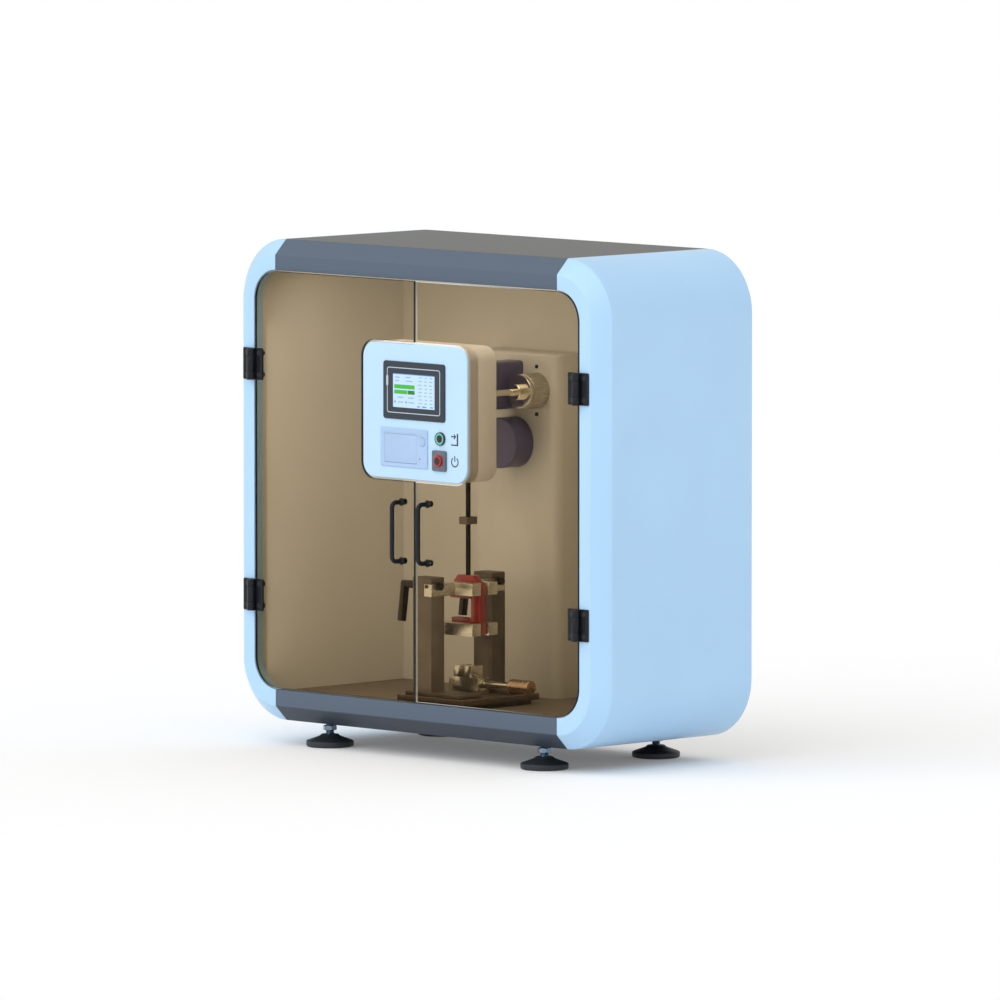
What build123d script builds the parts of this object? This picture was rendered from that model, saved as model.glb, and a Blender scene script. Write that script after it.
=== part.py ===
from build123d import *
import os

# Pendulum impact tester in a closed cabinet. Millimetres, +Z up, +X to the user's right, +Y to the back.
# The origin is on the ground below the middle of the whole machine, handles included.

# Cabinet
cabinet_width = 850.0
cabinet_depth = 345.0
cabinet_height = 790.0
foot_height = 39.0
corner_radius = 100.0
front_chamfer = 25.0
surround = 50.0
sill_height = 53.0
opening_radius = 50.0
frame_depth = 20.0
skin = 3.0
back_sheet = 3.0
deck_sheet = 3.0
deck_height = 43.0
seam_gap = 0.6
rib_width = 14.0
rib_depth = 12.0
panel_gap = 0.3
inlet_place = (-100.0, 100.0)
inlet_width = 50.0
inlet_height = 28.0
inlet_depth = 30.0
inlet_flange = 2.0
vent_places = ((-50.0, 230.0), (-50.0, 530.0))
vent_slots = 9
vent_pitch = 12.0
vent_length = 120.0
vent_slot = 4.0

# Levelling feet
foot_side_inset = 177.0
foot_front_inset = 49.0
foot_back_inset = 40.0
pad_diameter = 78.0
pad_rim_height = 10.5
pad_height = 20.6
pad_top_diameter = 28.0
stud_diameter = 14.0
stud_reach = 14.0
lock_nut_flats = 20.0
lock_nut_height = 7.5
lock_nut_gap = 4.5

# Doors
glass_thickness = 5.0
door_gap = 2.0
centre_gap = 3.0
pane_bevel = 0.8
hinge_height = 52.0
hinge_leaf_width = 22.0
hinge_leaf = 3.2
knuckle_diameter = 13.7
hinge_pin_diameter = 5.0
hinge_inset = 205.5
hinge_screw_spacing = 35.5
hinge_screw_offset = 13.5
screw_diameter = 4.0
screw_head_diameter = 8.0
handle_reach = 26.0
handle_bar = 7.6
handle_spacing = 96.0
handle_from_seam = 30.0
handle_below_console = 37.2
handle_flange_diameter = 13.0
handle_flange = 2.5
handle_bend = 9.0
cap_nut = 3.0

# Control box in the middle of the doors; its fittings are placed from its centre
console_width = 240.0
console_height = 220.0
console_depth = 70.0
console_drop = 20.0
console_radius = 25.0
console_plate = 4.0
console_wall = 3.0
console_gap = 3.0
screen_bezel_width = 142.0
screen_bezel_height = 94.0
screen_bezel_proud = 2.5
screen_rise = 33.9
screen_width = 96.0
screen_height = 55.0
screen_sheet = 1.0
screen_housing_depth = 32.0
screen_recess = 1.5
bezel_lap = 6.0
printer_left = -77.65
printer_drop = 90.65
printer_proud = 2.0
printer_margin = 9.8
printer_foot = 7.0
printer_lap = 4.5
printer_wall = 2.0
printer_door_width = 74.7
printer_door_height = 46.5
printer_door_sheet = 2.0
printer_bucket_depth = 50.0
paper_diameter = 36.0
paper_core_diameter = 12.0
paper_width = 57.0
paper_gap = 4.0
feed_button_diameter = 14.0
feed_button_gap = 5.25
feed_button_margin = 4.75
feed_button_rise = 12.1
feed_button_proud = 0.8
feed_button_depth = 4.0
feed_bore_depth = 8.0
impact_centre = (59.8, -39.7)
impact_ring_diameter = 21.6
impact_ring_proud = 3.0
impact_barrel_step = 2.5
impact_barrel_depth = 26.0
impact_button_diameter = 12.0
power_centre = (58.4, -75.5)
power_plate_width = 31.4
power_plate_height = 33.3
power_plate = 4.0
power_barrel_wall = 2.0
power_barrel_depth = 28.0
power_button_diameter = 17.0
power_button_proud = 3.0
switch_bore_depth = 16.0
button_travel = 2.5
button_spring_room = 1.0

# Tower at the back of the chamber, with the spindle drive in it
tower_side = 18.25
tower_depth = 62.5
tower_rise = 60.3
tower_wall = 2.5
tower_edge_radius = 15.0
tower_top_radius = 5.0
spindle_height = 545.7
spindle_diameter = 11.5
boss_diameter = 58.5
boss_length = 34.0
spigot_step = 4.0
spindle_room = 2.0
brake_disc_diameter = 55.6
brake_disc = 7.0
brake_hub_diameter = 26.0
brake_hub = 11.0
bearing_diameter = 32.0
bearing_width = 10.0
bracket_sheet = 6.0
bracket_foot = 30.0
tower_screw_gap = 9.8
motor_offset = 50.0
drive_gap = 15.95
motor_diameter = 83.0
motor_reach = 39.5
motor_rim = 7.0
motor_recess = 3.0
motor_shaft_diameter = 8.0
pulley_gap = 3.0
pulley_width = 10.0
tooth_diameter = 2.2
tooth_offset = 0.3
driven_pulley_diameter = 60.0
motor_pulley_diameter = 30.0
belt_sheet = 2.0
belt_edge = 1.0
encoder_diameter = 36.0
encoder_depth = 16.0
encoder_strap = 3.0
encoder_strap_width = 20.0
encoder_strap_reach = 40.0
arm_width = 38.0
arm_gap = 2.75
arm_rise = 47.3
arm_motor_gap = 14.5
arm_clear_rise = 2.3
arm_rear_length = 88.0
arm_radius = 6.0

# Pendulum
rod_plane = 121.7
rod_diameter = 8.0
hub_diameter = 30.0
hub_width = 21.0
hub_neck = 8.0
hub_socket = 6.0
strike_height = 200.0
hammer_head = 38.0
hammer_foot = 26.0
hammer_half_width = 34.5
hammer_top_half_width = 17.0
hammer_shoulder = 20.0
hammer_thickness = 14.0
throat_height = 32.0
throat_depth_x = 13.5
lower_jaw_thickness = 10.0
web_foot_left = 8.0
jaw_root = -8.0
jaw_tip = -31.0
striker_height = 18.0
striker_thickness = 6.0
striker_seat = 8.0
striker_proud = 1.0
rod_socket = 18.0
trim_width = 18.4
trim_depth = 24.5
trim_height = 12.0
trim_rise = 89.0

# Test frame on the chamber floor
plate_width = 155.0
plate_margin = 3.15
plate_rise = 17.0
plate_sheet = 10.0
plate_foot_inset = 10.0
plate_radius = 3.0
column_width = 42.5
column_depth = 29.5
column_spacing = 139.2
column_above_bar = 10.4
column_foot_sheet = 6.8
column_foot_left = -60.0
column_foot_right = 63.6
column_foot_depth = 53.0
bar_end = 38.6
bar_width = 20.0
bar_height = 20.4
hammer_clearance = 2.0
upper_bar_rise = 23.0
lower_bar_drop = 43.0
upper_run_proud = 0.6
upper_notch = 16.5
lower_run_width = 18.5
lever_rise = 16.4
lever_shaft_diameter = 12.4
lever_reach = 37.2
arm_screw_inset = 5.5
arm_screw_rise = 16.5
arm_screw_diameter = 6.0
arm_screw_head = 1.5
draw_bolt_diameter = 6.0
draw_nut_diameter = 13.0
draw_nut = 8.0
lever_width = 8.8
lever_depth = 11.4
lever_length = 61.0
lever_lean = 7.6

# Specimen vise
vise_left = -32.0
vise_right = 35.0
vise_depth = 25.6
vise_height = 28.0
vise_wall = 7.0
jaw_width = 15.5
jaw_depth = 27.0
jaw_height = 19.0
jaw_opening = 9.2
jaw_tongue = 12.0
vise_screw_rise = 19.8
vise_screw_diameter = 8.0
collar_diameter = 17.0
collar_neck = 6.0
collar_step = 0.6
knob_diameter = 22.7
knob_start = 64.0
knob_length = 47.0
knob_grooves = 24
groove_diameter = 2.4
groove_offset = 0.6

# Fits
running_fit = 0.05
free_gap = 0.4

os.makedirs("parts", exist_ok=True)

# Places worked out from the driving dimensions
front_y = (handle_reach - cabinet_depth) / 2
back_y = front_y + cabinet_depth
half_width = cabinet_width / 2
opening_half_width = half_width - surround
seam_x = half_width - corner_radius
top_z = foot_height + cabinet_height
deck_z = foot_height + deck_height
panel_face_y = back_y - back_sheet
hinge_axis_y = front_y - knuckle_diameter / 2 - free_gap
hinge_heights = (foot_height + hinge_inset, top_z - hinge_inset)
tower_face_y = panel_face_y - tower_depth
tower_top = spindle_height + tower_rise
tower_width = 2 * (motor_offset + boss_diameter / 2 + tower_side)
boss_face_y = tower_face_y - boss_length
bracket_y = tower_face_y + tower_wall + bracket_sheet
spigot_y = bracket_y + bearing_width
pulley_y = spigot_y + pulley_gap
encoder_y = pulley_y + pulley_width + pulley_gap
motor_x = -motor_offset
motor_height = spindle_height - (boss_diameter + motor_diameter) / 2 - drive_gap
motor_front_y = tower_face_y - motor_reach
motor_rear_y = pulley_y - pulley_gap
arm_right_face = -boss_diameter / 2 - arm_gap
arm_bottom = motor_height + motor_diameter / 2 + arm_motor_gap
arm_clear_bottom = spindle_height + arm_clear_rise
arm_top = spindle_height + arm_rise
console_centre_height = spindle_height - console_drop
screen_centre_height = console_centre_height + screen_rise
feed_button_room = feed_button_gap + feed_button_diameter + feed_button_margin
printer_width = printer_margin + printer_door_width + feed_button_room
printer_height = printer_margin + printer_door_height + printer_foot
printer_bottom = console_centre_height - printer_drop
handle_height = console_centre_height - (console_height + handle_spacing) / 2 - handle_below_console
rod_y = front_y + rod_plane
spindle_z = foot_height + spindle_height
throat_top = strike_height + throat_height / 2
throat_bottom = strike_height - throat_height / 2
hammer_top = throat_top + hammer_head
hammer_bottom = throat_bottom - hammer_foot
upper_bar_bottom = strike_height + upper_bar_rise
lower_bar_bottom = strike_height - lower_bar_drop
column_top = upper_bar_bottom + bar_height + column_above_bar
upper_run_width = upper_notch + upper_run_proud
lever_height = upper_bar_bottom + lever_rise
plate_depth = column_spacing + column_depth + 2 * plate_margin
plate_z = deck_z + plate_rise
column_foot_z = plate_z + column_foot_sheet
column_left = -column_width
lever_end = column_left - lever_reach
bar_half_gap = hammer_thickness / 2 + hammer_clearance
sides = {"left": -1, "right": 1}
rows = {"front": -1, "rear": 1}


def up(height):
    """Height above the cabinet's underside, as a place in the part's frame."""
    return foot_height + height


def back(depth):
    """Distance behind the cabinet's front face, as a place in the part's frame."""
    return front_y + depth


def upright(y):
    """Vertical plane at y: its sketches are seen from the front, and a positive extrusion comes forward."""
    return Plane.XZ.offset(-y)


def cross_plane(x):
    """Vertical plane across the machine at x, with +Y to its right: a positive extrusion goes to +X."""
    return Plane.YZ.offset(x)


def save(piece, label):
    """Names a finished piece and writes it."""
    piece.label = label
    export_step(piece, f"parts/{label}.step")


# Cabinet shells

def outline(inset):
    """The cabinet's outline from the front, drawn in by an inset."""
    with Locations((0, foot_height + cabinet_height / 2)):
        RectangleRounded(cabinet_width - 2 * inset, cabinet_height - 2 * inset, corner_radius - inset)


def opening(grow, mode=Mode.ADD):
    """The door opening, grown on every side; the sill stands higher than the surround at the top."""
    width = 2 * (opening_half_width + grow)
    height = cabinet_height - sill_height - surround
    with Locations((0, up(sill_height) + height / 2)):
        RectangleRounded(width, height + 2 * grow, opening_radius + grow, mode=mode)


def chamber(grow, mode=Mode.ADD):
    """The test chamber behind the front frame, from under the floor plate to the ceiling."""
    bottom = up(deck_height - deck_sheet)
    height = top_z - surround - bottom
    with Locations((0, bottom + height / 2)):
        Rectangle(2 * (opening_half_width + grow), height + 2 * grow, mode=mode)


def foot_places():
    """The four levelling feet, seen from above."""
    x = half_width - foot_side_inset
    rear = cabinet_depth - foot_back_inset
    return [(sx * x, back(y)) for y in (foot_front_inset, rear) for sx in (-1, 1)]


def panel_screw_places():
    """Screws of the back panel, in its own plane, on the ribs between the skin and the chamber's wall."""
    side_x = half_width - surround / 2
    middle = foot_height + cabinet_height / 2
    spread = cabinet_height / 2 - corner_radius
    level = [(sx * side_x, middle + sz * spread) for sx in (-1, 1) for sz in (-1, 0, 1)]
    lower = [(sx * seam_x / 2, up((deck_height - deck_sheet) / 2)) for sx in (-1, 1)]
    upper = [(sx * seam_x / 2, top_z - surround / 2) for sx in (-1, 1)]
    return level + lower + upper


def make_ring():
    """The whole hollow surround as one form: the four shells are cut from it."""
    middle_y = frame_depth - skin
    steps = (
        (skin, middle_y, front_chamfer + skin, opening),
        (middle_y, front_chamfer + skin, front_chamfer / 2, chamber),
        (front_chamfer + skin, cabinet_depth - back_sheet, skin, chamber),
    )
    with BuildPart() as ring:
        with BuildSketch(upright(back_y)):
            outline(0)
        extrude(amount=cabinet_depth)
        chamfer(ring.faces().sort_by(Axis.Y)[0].edges(), front_chamfer)
        with BuildSketch(upright(back(frame_depth))):
            opening(0)
        extrude(amount=frame_depth, mode=Mode.SUBTRACT)
        with BuildSketch(upright(back_y)):
            chamber(0)
        extrude(amount=cabinet_depth - frame_depth, mode=Mode.SUBTRACT)
        for near, far, inset, inner_form in steps:
            with BuildSketch(upright(back(far))):
                outline(inset)
                inner_form(skin, mode=Mode.SUBTRACT)
            extrude(amount=far - near, mode=Mode.SUBTRACT)
        with BuildSketch(upright(back_y)):
            outline(skin)
        extrude(amount=back_sheet, mode=Mode.SUBTRACT)
        with BuildSketch(upright(panel_face_y)):
            with Locations(*panel_screw_places()[:6]):
                Rectangle(surround - skin, rib_width)
            with Locations(*panel_screw_places()[6:8]):
                Rectangle(rib_width, deck_height - deck_sheet - skin)
            with Locations(*panel_screw_places()[8:]):
                Rectangle(rib_width, surround - skin)
        extrude(amount=rib_depth)
        with BuildSketch(Plane.XY.offset(foot_height)):
            with Locations(*foot_places()):
                Circle(stud_diameter / 2 + 5)
        extrude(amount=stud_reach + skin)
        with BuildSketch(Plane.XY.offset(foot_height)):
            with Locations(*foot_places()):
                Circle(stud_diameter / 2 + running_fit)
        extrude(amount=stud_reach + free_gap, mode=Mode.SUBTRACT)
        with BuildSketch(upright(panel_face_y)):
            with Locations(*panel_screw_places()):
                Circle(screw_diameter / 2 + running_fit)
        extrude(amount=10, mode=Mode.SUBTRACT)
        with BuildSketch(upright(back(skin))):
            with Locations(*leaf_screw_places(-1), *leaf_screw_places(1)):
                Circle(screw_diameter / 2 + running_fit)
        extrude(amount=skin, mode=Mode.SUBTRACT)
    return ring.part


def leaf_screw_places(side, outward=True):
    """Screws of one side's hinge leaves: outward on the cabinet, inward on the door."""
    reach = hinge_screw_offset if outward else -hinge_screw_offset
    x = side * (opening_half_width + reach)
    spread = hinge_screw_spacing / 2
    return [(x, z + s * spread) for z in hinge_heights for s in (-1, 1)]


def make_shells():
    """Cuts the surround at the ends of its corner arcs into two side shells, a top and a bottom."""
    ring = make_ring()
    for name, side in sides.items():
        with BuildPart() as side_shell:
            add(ring)
            keep = Keep.TOP if side > 0 else Keep.BOTTOM
            split(bisect_by=Plane.YZ.offset(side * seam_x), keep=keep)
        save(side_shell.part, f"{name}_shell")
    with BuildPart() as level_shells:
        add(ring)
        split(bisect_by=Plane.YZ.offset(seam_x - seam_gap), keep=Keep.BOTTOM)
        split(bisect_by=Plane.YZ.offset(seam_gap - seam_x), keep=Keep.TOP)
    upper, lower = level_shells.solids().sort_by(Axis.Z, reverse=True)
    for name, shell in (("top_shell", upper), ("bottom_shell", lower)):
        with BuildPart() as level_shell:
            add(shell)
        save(level_shell.part, name)


def make_chamber_floor():
    """Floor plate of the chamber, on the shells' inner walls."""
    depth = cabinet_depth - back_sheet - frame_depth
    with BuildPart() as chamber_floor:
        with BuildSketch(Plane.XY.offset(deck_z - deck_sheet)):
            with Locations((0, back(frame_depth) + depth / 2)):
                Rectangle(2 * (opening_half_width - panel_gap), depth - 2 * panel_gap)
        extrude(amount=deck_sheet)
    save(chamber_floor.part, "chamber_floor")


def make_back_panel():
    """Sheet panel in the shells' rebate, with vents behind the tower and the hole of the mains inlet."""
    hole_radius = screw_diameter / 2 + running_fit
    sink_radius = screw_head_diameter / 2 + running_fit
    with BuildPart() as back_panel:
        with BuildSketch(upright(back_y)):
            outline(skin + panel_gap)
            with Locations(*[(x, up(z)) for x, z in vent_places]):
                with GridLocations(0, vent_pitch, 1, vent_slots):
                    SlotOverall(vent_length, vent_slot, mode=Mode.SUBTRACT)
            with Locations((inlet_place[0], up(inlet_place[1]))):
                Rectangle(inlet_width - 6, inlet_height - 6, mode=Mode.SUBTRACT)
        extrude(amount=back_sheet)
        for x, z in panel_screw_places():
            with Locations(Plane(origin=(x, back_y, z), x_dir=(-1, 0, 0), z_dir=(0, 1, 0))):
                CounterSinkHole(hole_radius, sink_radius, counter_sink_angle=90)
    save(back_panel.part, "back_panel")


def make_power_inlet():
    """Mains inlet let into the back panel: a socket with three blades, its flange inside the sheet."""
    x, z = inlet_place[0], up(inlet_place[1])
    with BuildPart() as power_inlet:
        with BuildSketch(upright(panel_face_y)):
            with Locations((x, z)):
                RectangleRounded(inlet_width, inlet_height, 3)
        extrude(amount=inlet_flange)
        with BuildSketch(upright(panel_face_y)):
            with Locations((x, z)):
                Rectangle(inlet_width - 12, inlet_height - 8)
        extrude(amount=inlet_depth)
        with BuildSketch(upright(back_y)):
            with Locations((x, z)):
                Rectangle(inlet_width - 7, inlet_height - 7)
        extrude(amount=back_sheet)
        with BuildSketch(upright(back_y)):
            with Locations((x, z)):
                RectangleRounded(25, 17, 3)
        extrude(amount=18, mode=Mode.SUBTRACT)
        with BuildSketch(upright(back_y - 18)):
            with Locations((x - 7, z - 2), (x, z + 2), (x + 7, z - 2)):
                Rectangle(2, 5)
        extrude(amount=-14)
    save(power_inlet.part, "power_inlet")


def countersunk_screws(places, head_y, length, facing):
    """Countersunk screws along Y, their heads at head_y facing -1 for the front or 1 for the back."""
    head = screw_head_diameter / 2
    shank = screw_diameter / 2
    with BuildPart() as screws:
        for x, z in places:
            with BuildSketch(Plane(origin=(x, head_y, z), x_dir=(1, 0, 0), z_dir=(0, -facing, 0))):
                Circle(head)
            extrude(amount=head - shank, taper=45)
            with BuildSketch(Plane(origin=(x, head_y, z), x_dir=(1, 0, 0), z_dir=(0, -facing, 0))):
                Circle(shank)
            extrude(amount=length)
    return screws.part


def make_cabinet_screws():
    """Screws of the back panel, of the cabinet's hinge leaves and of the tower, each a separate solid."""
    leaf_places = leaf_screw_places(-1) + leaf_screw_places(1)
    panel_screws = countersunk_screws(panel_screw_places(), back_y, 10.0, 1)
    leaf_screws = countersunk_screws(leaf_places, front_y - hinge_leaf, hinge_leaf + skin + 3, -1)
    with BuildPart() as cabinet_screws:
        add(panel_screws)
        add(leaf_screws)
        with BuildSketch(upright(tower_face_y)):
            with Locations(*tower_screw_places()):
                Circle(screw_head_diameter / 2 - 1)
        extrude(amount=2)
        with BuildSketch(upright(tower_face_y + tower_wall + bracket_sheet)):
            with Locations(*tower_screw_places()):
                Circle(screw_diameter / 2)
        extrude(amount=tower_wall + bracket_sheet)
    save(cabinet_screws.part, "cabinet_screws")


def make_feet():
    """Four levelling feet: a weighted pad on a ball stud, and the lock nut on the stud."""
    cone_start = pad_diameter / 2 - 6
    for number, place in enumerate(foot_places(), start=1):
        axis = Plane(origin=(place[0], place[1], 0), x_dir=(1, 0, 0), z_dir=(0, -1, 0))
        with BuildPart() as levelling_foot:
            with BuildSketch(axis):
                with BuildLine():
                    Polyline(
                        (0, 0), (pad_diameter / 2 - 3, 0), (pad_diameter / 2, 2),
                        (pad_diameter / 2, pad_rim_height - 1), (cone_start + 4, pad_rim_height),
                        (pad_top_diameter / 2 + 2, pad_height - 3), (pad_top_diameter / 2, pad_height),
                        (stud_diameter / 2 + panel_gap, pad_height),
                        (stud_diameter / 2 + panel_gap, pad_height / 2),
                        (0, pad_height / 2), (0, 0),
                    )
                make_face()
            revolve(axis=Axis((place[0], place[1], 0), (0, 0, 1)))
            with BuildSketch(Plane.XY.offset(pad_height / 2 + free_gap)):
                with Locations(place):
                    Circle(stud_diameter / 2)
            extrude(amount=foot_height + stud_reach - pad_height / 2 - free_gap)
            with BuildSketch(Plane.XY.offset(foot_height - lock_nut_gap - lock_nut_height)):
                with Locations(place):
                    RegularPolygon(lock_nut_flats / 2, 6, major_radius=False)
            extrude(amount=lock_nut_height)
        save(levelling_foot.part, f"levelling_foot_{number}")


# Doors

def console_outline(grow, mode=Mode.ADD):
    """Outline of the control box from the front, grown on every side."""
    with Locations((0, up(console_centre_height))):
        radius = console_radius + grow
        RectangleRounded(console_width + 2 * grow, console_height + 2 * grow, radius, mode=mode)


def console_place(offset):
    """A place on the control box given from its centre."""
    return (offset[0], up(console_centre_height) + offset[1])


def printer_place():
    """Middle of the printer's bezel."""
    return (printer_left + printer_width / 2, up(printer_bottom) + printer_height / 2)


def handle_places(side):
    """The two mounts of one door's pull handle, in the door's plane."""
    return [(side * handle_from_seam, up(handle_height) + s * handle_spacing / 2) for s in (-1, 1)]


def make_pane(name, side):
    """Tinted pane: half of the opening, cut round the control box, with bevelled edges and its holes."""
    half = side * (opening_half_width + centre_gap / 2) / 2
    with BuildPart() as pane:
        with BuildSketch(upright(back(glass_thickness))):
            opening(-door_gap)
            with Locations((half, up(cabinet_height / 2))):
                Rectangle(opening_half_width - centre_gap / 2, cabinet_height, mode=Mode.INTERSECT)
            console_outline(console_gap, mode=Mode.SUBTRACT)
            with Locations(*leaf_screw_places(side, outward=False)):
                Circle(screw_diameter / 2 + running_fit, mode=Mode.SUBTRACT)
            with Locations(*handle_places(side)):
                Circle(screw_diameter / 2 + running_fit, mode=Mode.SUBTRACT)
        extrude(amount=glass_thickness)
        chamfer(pane.faces().sort_by(Axis.Y)[0].outer_wire().edges(), pane_bevel)
    save(pane.part, f"{name}_door_pane")


def make_leaves(side, outward):
    """Hinge leaves of one side, two solids: outward leaves are on the cabinet, inward ones on the door."""
    reach = side if outward else -side
    axis_x = side * opening_half_width
    centre_x = axis_x + reach * (hinge_leaf_width / 2 + free_gap)
    knuckle = hinge_height / 4
    hole_radius = screw_diameter / 2 + running_fit
    sink_radius = screw_head_diameter / 2 + running_fit
    own = ((1.5, 1), (-1.5, 1)) if outward else ((0, 2),)
    other = ((0, 2),) if outward else ((1.5, 1), (-1.5, 1))
    with BuildPart() as leaves:
        for height in hinge_heights:
            with BuildSketch(upright(front_y)):
                with Locations((centre_x, height)):
                    RectangleRounded(hinge_leaf_width, hinge_height, 2)
            extrude(amount=hinge_leaf)
            for place, length in other:
                with BuildSketch(Plane.XY.offset(height + (place - length / 2) * knuckle - free_gap)):
                    with Locations((axis_x, hinge_axis_y)):
                        Circle(knuckle_diameter / 2 + free_gap)
                extrude(amount=length * knuckle + 2 * free_gap, mode=Mode.SUBTRACT)
            for place, length in own:
                with BuildSketch(Plane.XY.offset(height + (place - length / 2) * knuckle + free_gap / 2)):
                    with Locations((axis_x, hinge_axis_y)):
                        Circle(knuckle_diameter / 2)
                extrude(amount=length * knuckle - free_gap)
            with BuildSketch(Plane.XY.offset(height - hinge_height / 2)):
                with Locations((axis_x, hinge_axis_y)):
                    Circle(hinge_pin_diameter / 2 + running_fit)
            extrude(amount=hinge_height, mode=Mode.SUBTRACT)
            for x, z in leaf_screw_places(side, outward):
                if abs(z - height) < hinge_height:
                    face = Plane(origin=(x, front_y - hinge_leaf, z), x_dir=(1, 0, 0), z_dir=(0, -1, 0))
                    with Locations(face):
                        CounterSinkHole(hole_radius, sink_radius, counter_sink_angle=90)
    return leaves.part


def make_hinges():
    """Leaves on the doors, and leaves and pins on the cabinet, each leaf and pin a separate solid."""
    for name, side in sides.items():
        save(make_leaves(side, outward=False), f"{name}_door_leaves")
    leaves = [make_leaves(side, outward=True) for side in sides.values()]
    axes = [(side * opening_half_width, hinge_axis_y) for side in sides.values()]
    with BuildPart() as cabinet_leaves:
        add(leaves)
        for height in hinge_heights:
            with BuildSketch(Plane.XY.offset(height - hinge_height / 2)):
                with Locations(*axes):
                    Circle(hinge_pin_diameter / 2)
            extrude(amount=hinge_height)
    save(cabinet_leaves.part, "cabinet_leaves")


def make_handle(name, side):
    """Pull handle: a round bar bent twice, with a flange on each end against the pane."""
    x = side * handle_from_seam
    low, high = (z for _, z in handle_places(side))
    bar_y = front_y - handle_reach + handle_bar / 2
    with BuildPart() as handle:
        with BuildLine() as path:
            corners = [(x, front_y, low), (x, bar_y, low), (x, bar_y, high), (x, front_y, high)]
            FilletPolyline(*corners, radius=handle_bend)
        with BuildSketch(Plane(origin=path.line @ 0, z_dir=path.line % 0)):
            Circle(handle_bar / 2)
        sweep()
        with BuildSketch(upright(front_y)):
            with Locations((x, low), (x, high)):
                Circle(handle_flange_diameter / 2)
        extrude(amount=handle_flange)
        with BuildSketch(upright(front_y)):
            with Locations((x, low), (x, high)):
                Circle(screw_diameter / 2 + running_fit)
        extrude(amount=8, mode=Mode.SUBTRACT)
    save(handle.part, f"{name}_door_handle")


def make_door_screws(name, side):
    """Screws of one door: through the leaves with cap nuts inside, and the handle's bolts from inside."""
    inside_y = back(glass_thickness)
    length = hinge_leaf + glass_thickness + cap_nut
    places = leaf_screw_places(side, outward=False)
    leaf_screws = countersunk_screws(places, front_y - hinge_leaf, length, -1)
    with BuildPart() as door_screws:
        add(leaf_screws)
        with BuildSketch(upright(inside_y + cap_nut)):
            with Locations(*places):
                RegularPolygon(screw_head_diameter / 2, 6, major_radius=False)
            with Locations(*handle_places(side)):
                Circle(screw_head_diameter / 2 + 1)
        extrude(amount=cap_nut)
        with BuildSketch(upright(inside_y)):
            with Locations(*handle_places(side)):
                Circle(screw_diameter / 2)
        extrude(amount=glass_thickness + 7)
    save(door_screws.part, f"{name}_door_screws")


# Control box

def make_console_front():
    """Front plate of the control box, with the openings for the screen, the printer and two switches."""
    with BuildPart() as console_front:
        with BuildSketch(upright(back(console_plate))):
            console_outline(0)
            with Locations((0, up(screen_centre_height))):
                width = screen_bezel_width - 2 * bezel_lap
                Rectangle(width, screen_bezel_height - 2 * bezel_lap, mode=Mode.SUBTRACT)
            with Locations(printer_place()):
                width = printer_width - 2 * printer_lap + 2 * free_gap
                height = printer_height - 2 * printer_lap + 2 * free_gap
                Rectangle(width, height, mode=Mode.SUBTRACT)
            with Locations(console_place(impact_centre)):
                Circle(impact_ring_diameter / 2 - impact_barrel_step + free_gap, mode=Mode.SUBTRACT)
            with Locations(console_place(power_centre)):
                Circle(power_button_diameter / 2 + power_barrel_wall + free_gap, mode=Mode.SUBTRACT)
        extrude(amount=console_plate)
        fillet(console_front.faces().sort_by(Axis.Y)[0].outer_wire().edges(), 2)
    save(console_front.part, "console_front")


def make_console_body():
    """Rear body of the control box: a moulded shell, open to the front plate."""
    with BuildPart() as console_body:
        with BuildSketch(upright(back(console_depth))):
            console_outline(0)
        extrude(amount=console_depth - console_plate)
        fillet(console_body.faces().sort_by(Axis.Y)[-1].edges(), 5)
        front = console_body.faces().sort_by(Axis.Y)[0]
        offset(amount=-console_wall, openings=front)
    save(console_body.part, "console_body")


def make_screen():
    """Touch screen: bezel with its housing behind the plate, and the display in the bezel's recess."""
    z = up(screen_centre_height)
    with BuildPart() as screen_bezel:
        with BuildSketch(upright(front_y)):
            with Locations((0, z)):
                RectangleRounded(screen_bezel_width, screen_bezel_height, 5)
        extrude(amount=screen_bezel_proud)
        chamfer(screen_bezel.faces().sort_by(Axis.Y)[0].edges(), 1)
        with BuildSketch(upright(back(screen_housing_depth))):
            with Locations((0, z)):
                width = screen_bezel_width - 2 * (bezel_lap + free_gap)
                Rectangle(width, screen_bezel_height - 2 * (bezel_lap + free_gap))
        extrude(amount=screen_housing_depth)
        with BuildSketch(upright(front_y - screen_bezel_proud + screen_recess)):
            with Locations((0, z)):
                RectangleRounded(screen_width + 2 * panel_gap, screen_height + 2 * panel_gap, 1)
        extrude(amount=screen_recess, mode=Mode.SUBTRACT)
    save(screen_bezel.part, "screen_bezel")
    with BuildPart() as screen:
        with BuildSketch(upright(front_y - screen_bezel_proud + screen_recess)):
            with Locations((0, z)):
                RectangleRounded(screen_width, screen_height, 0.8)
        extrude(amount=screen_sheet)
    save(screen.part, "screen")


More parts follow.
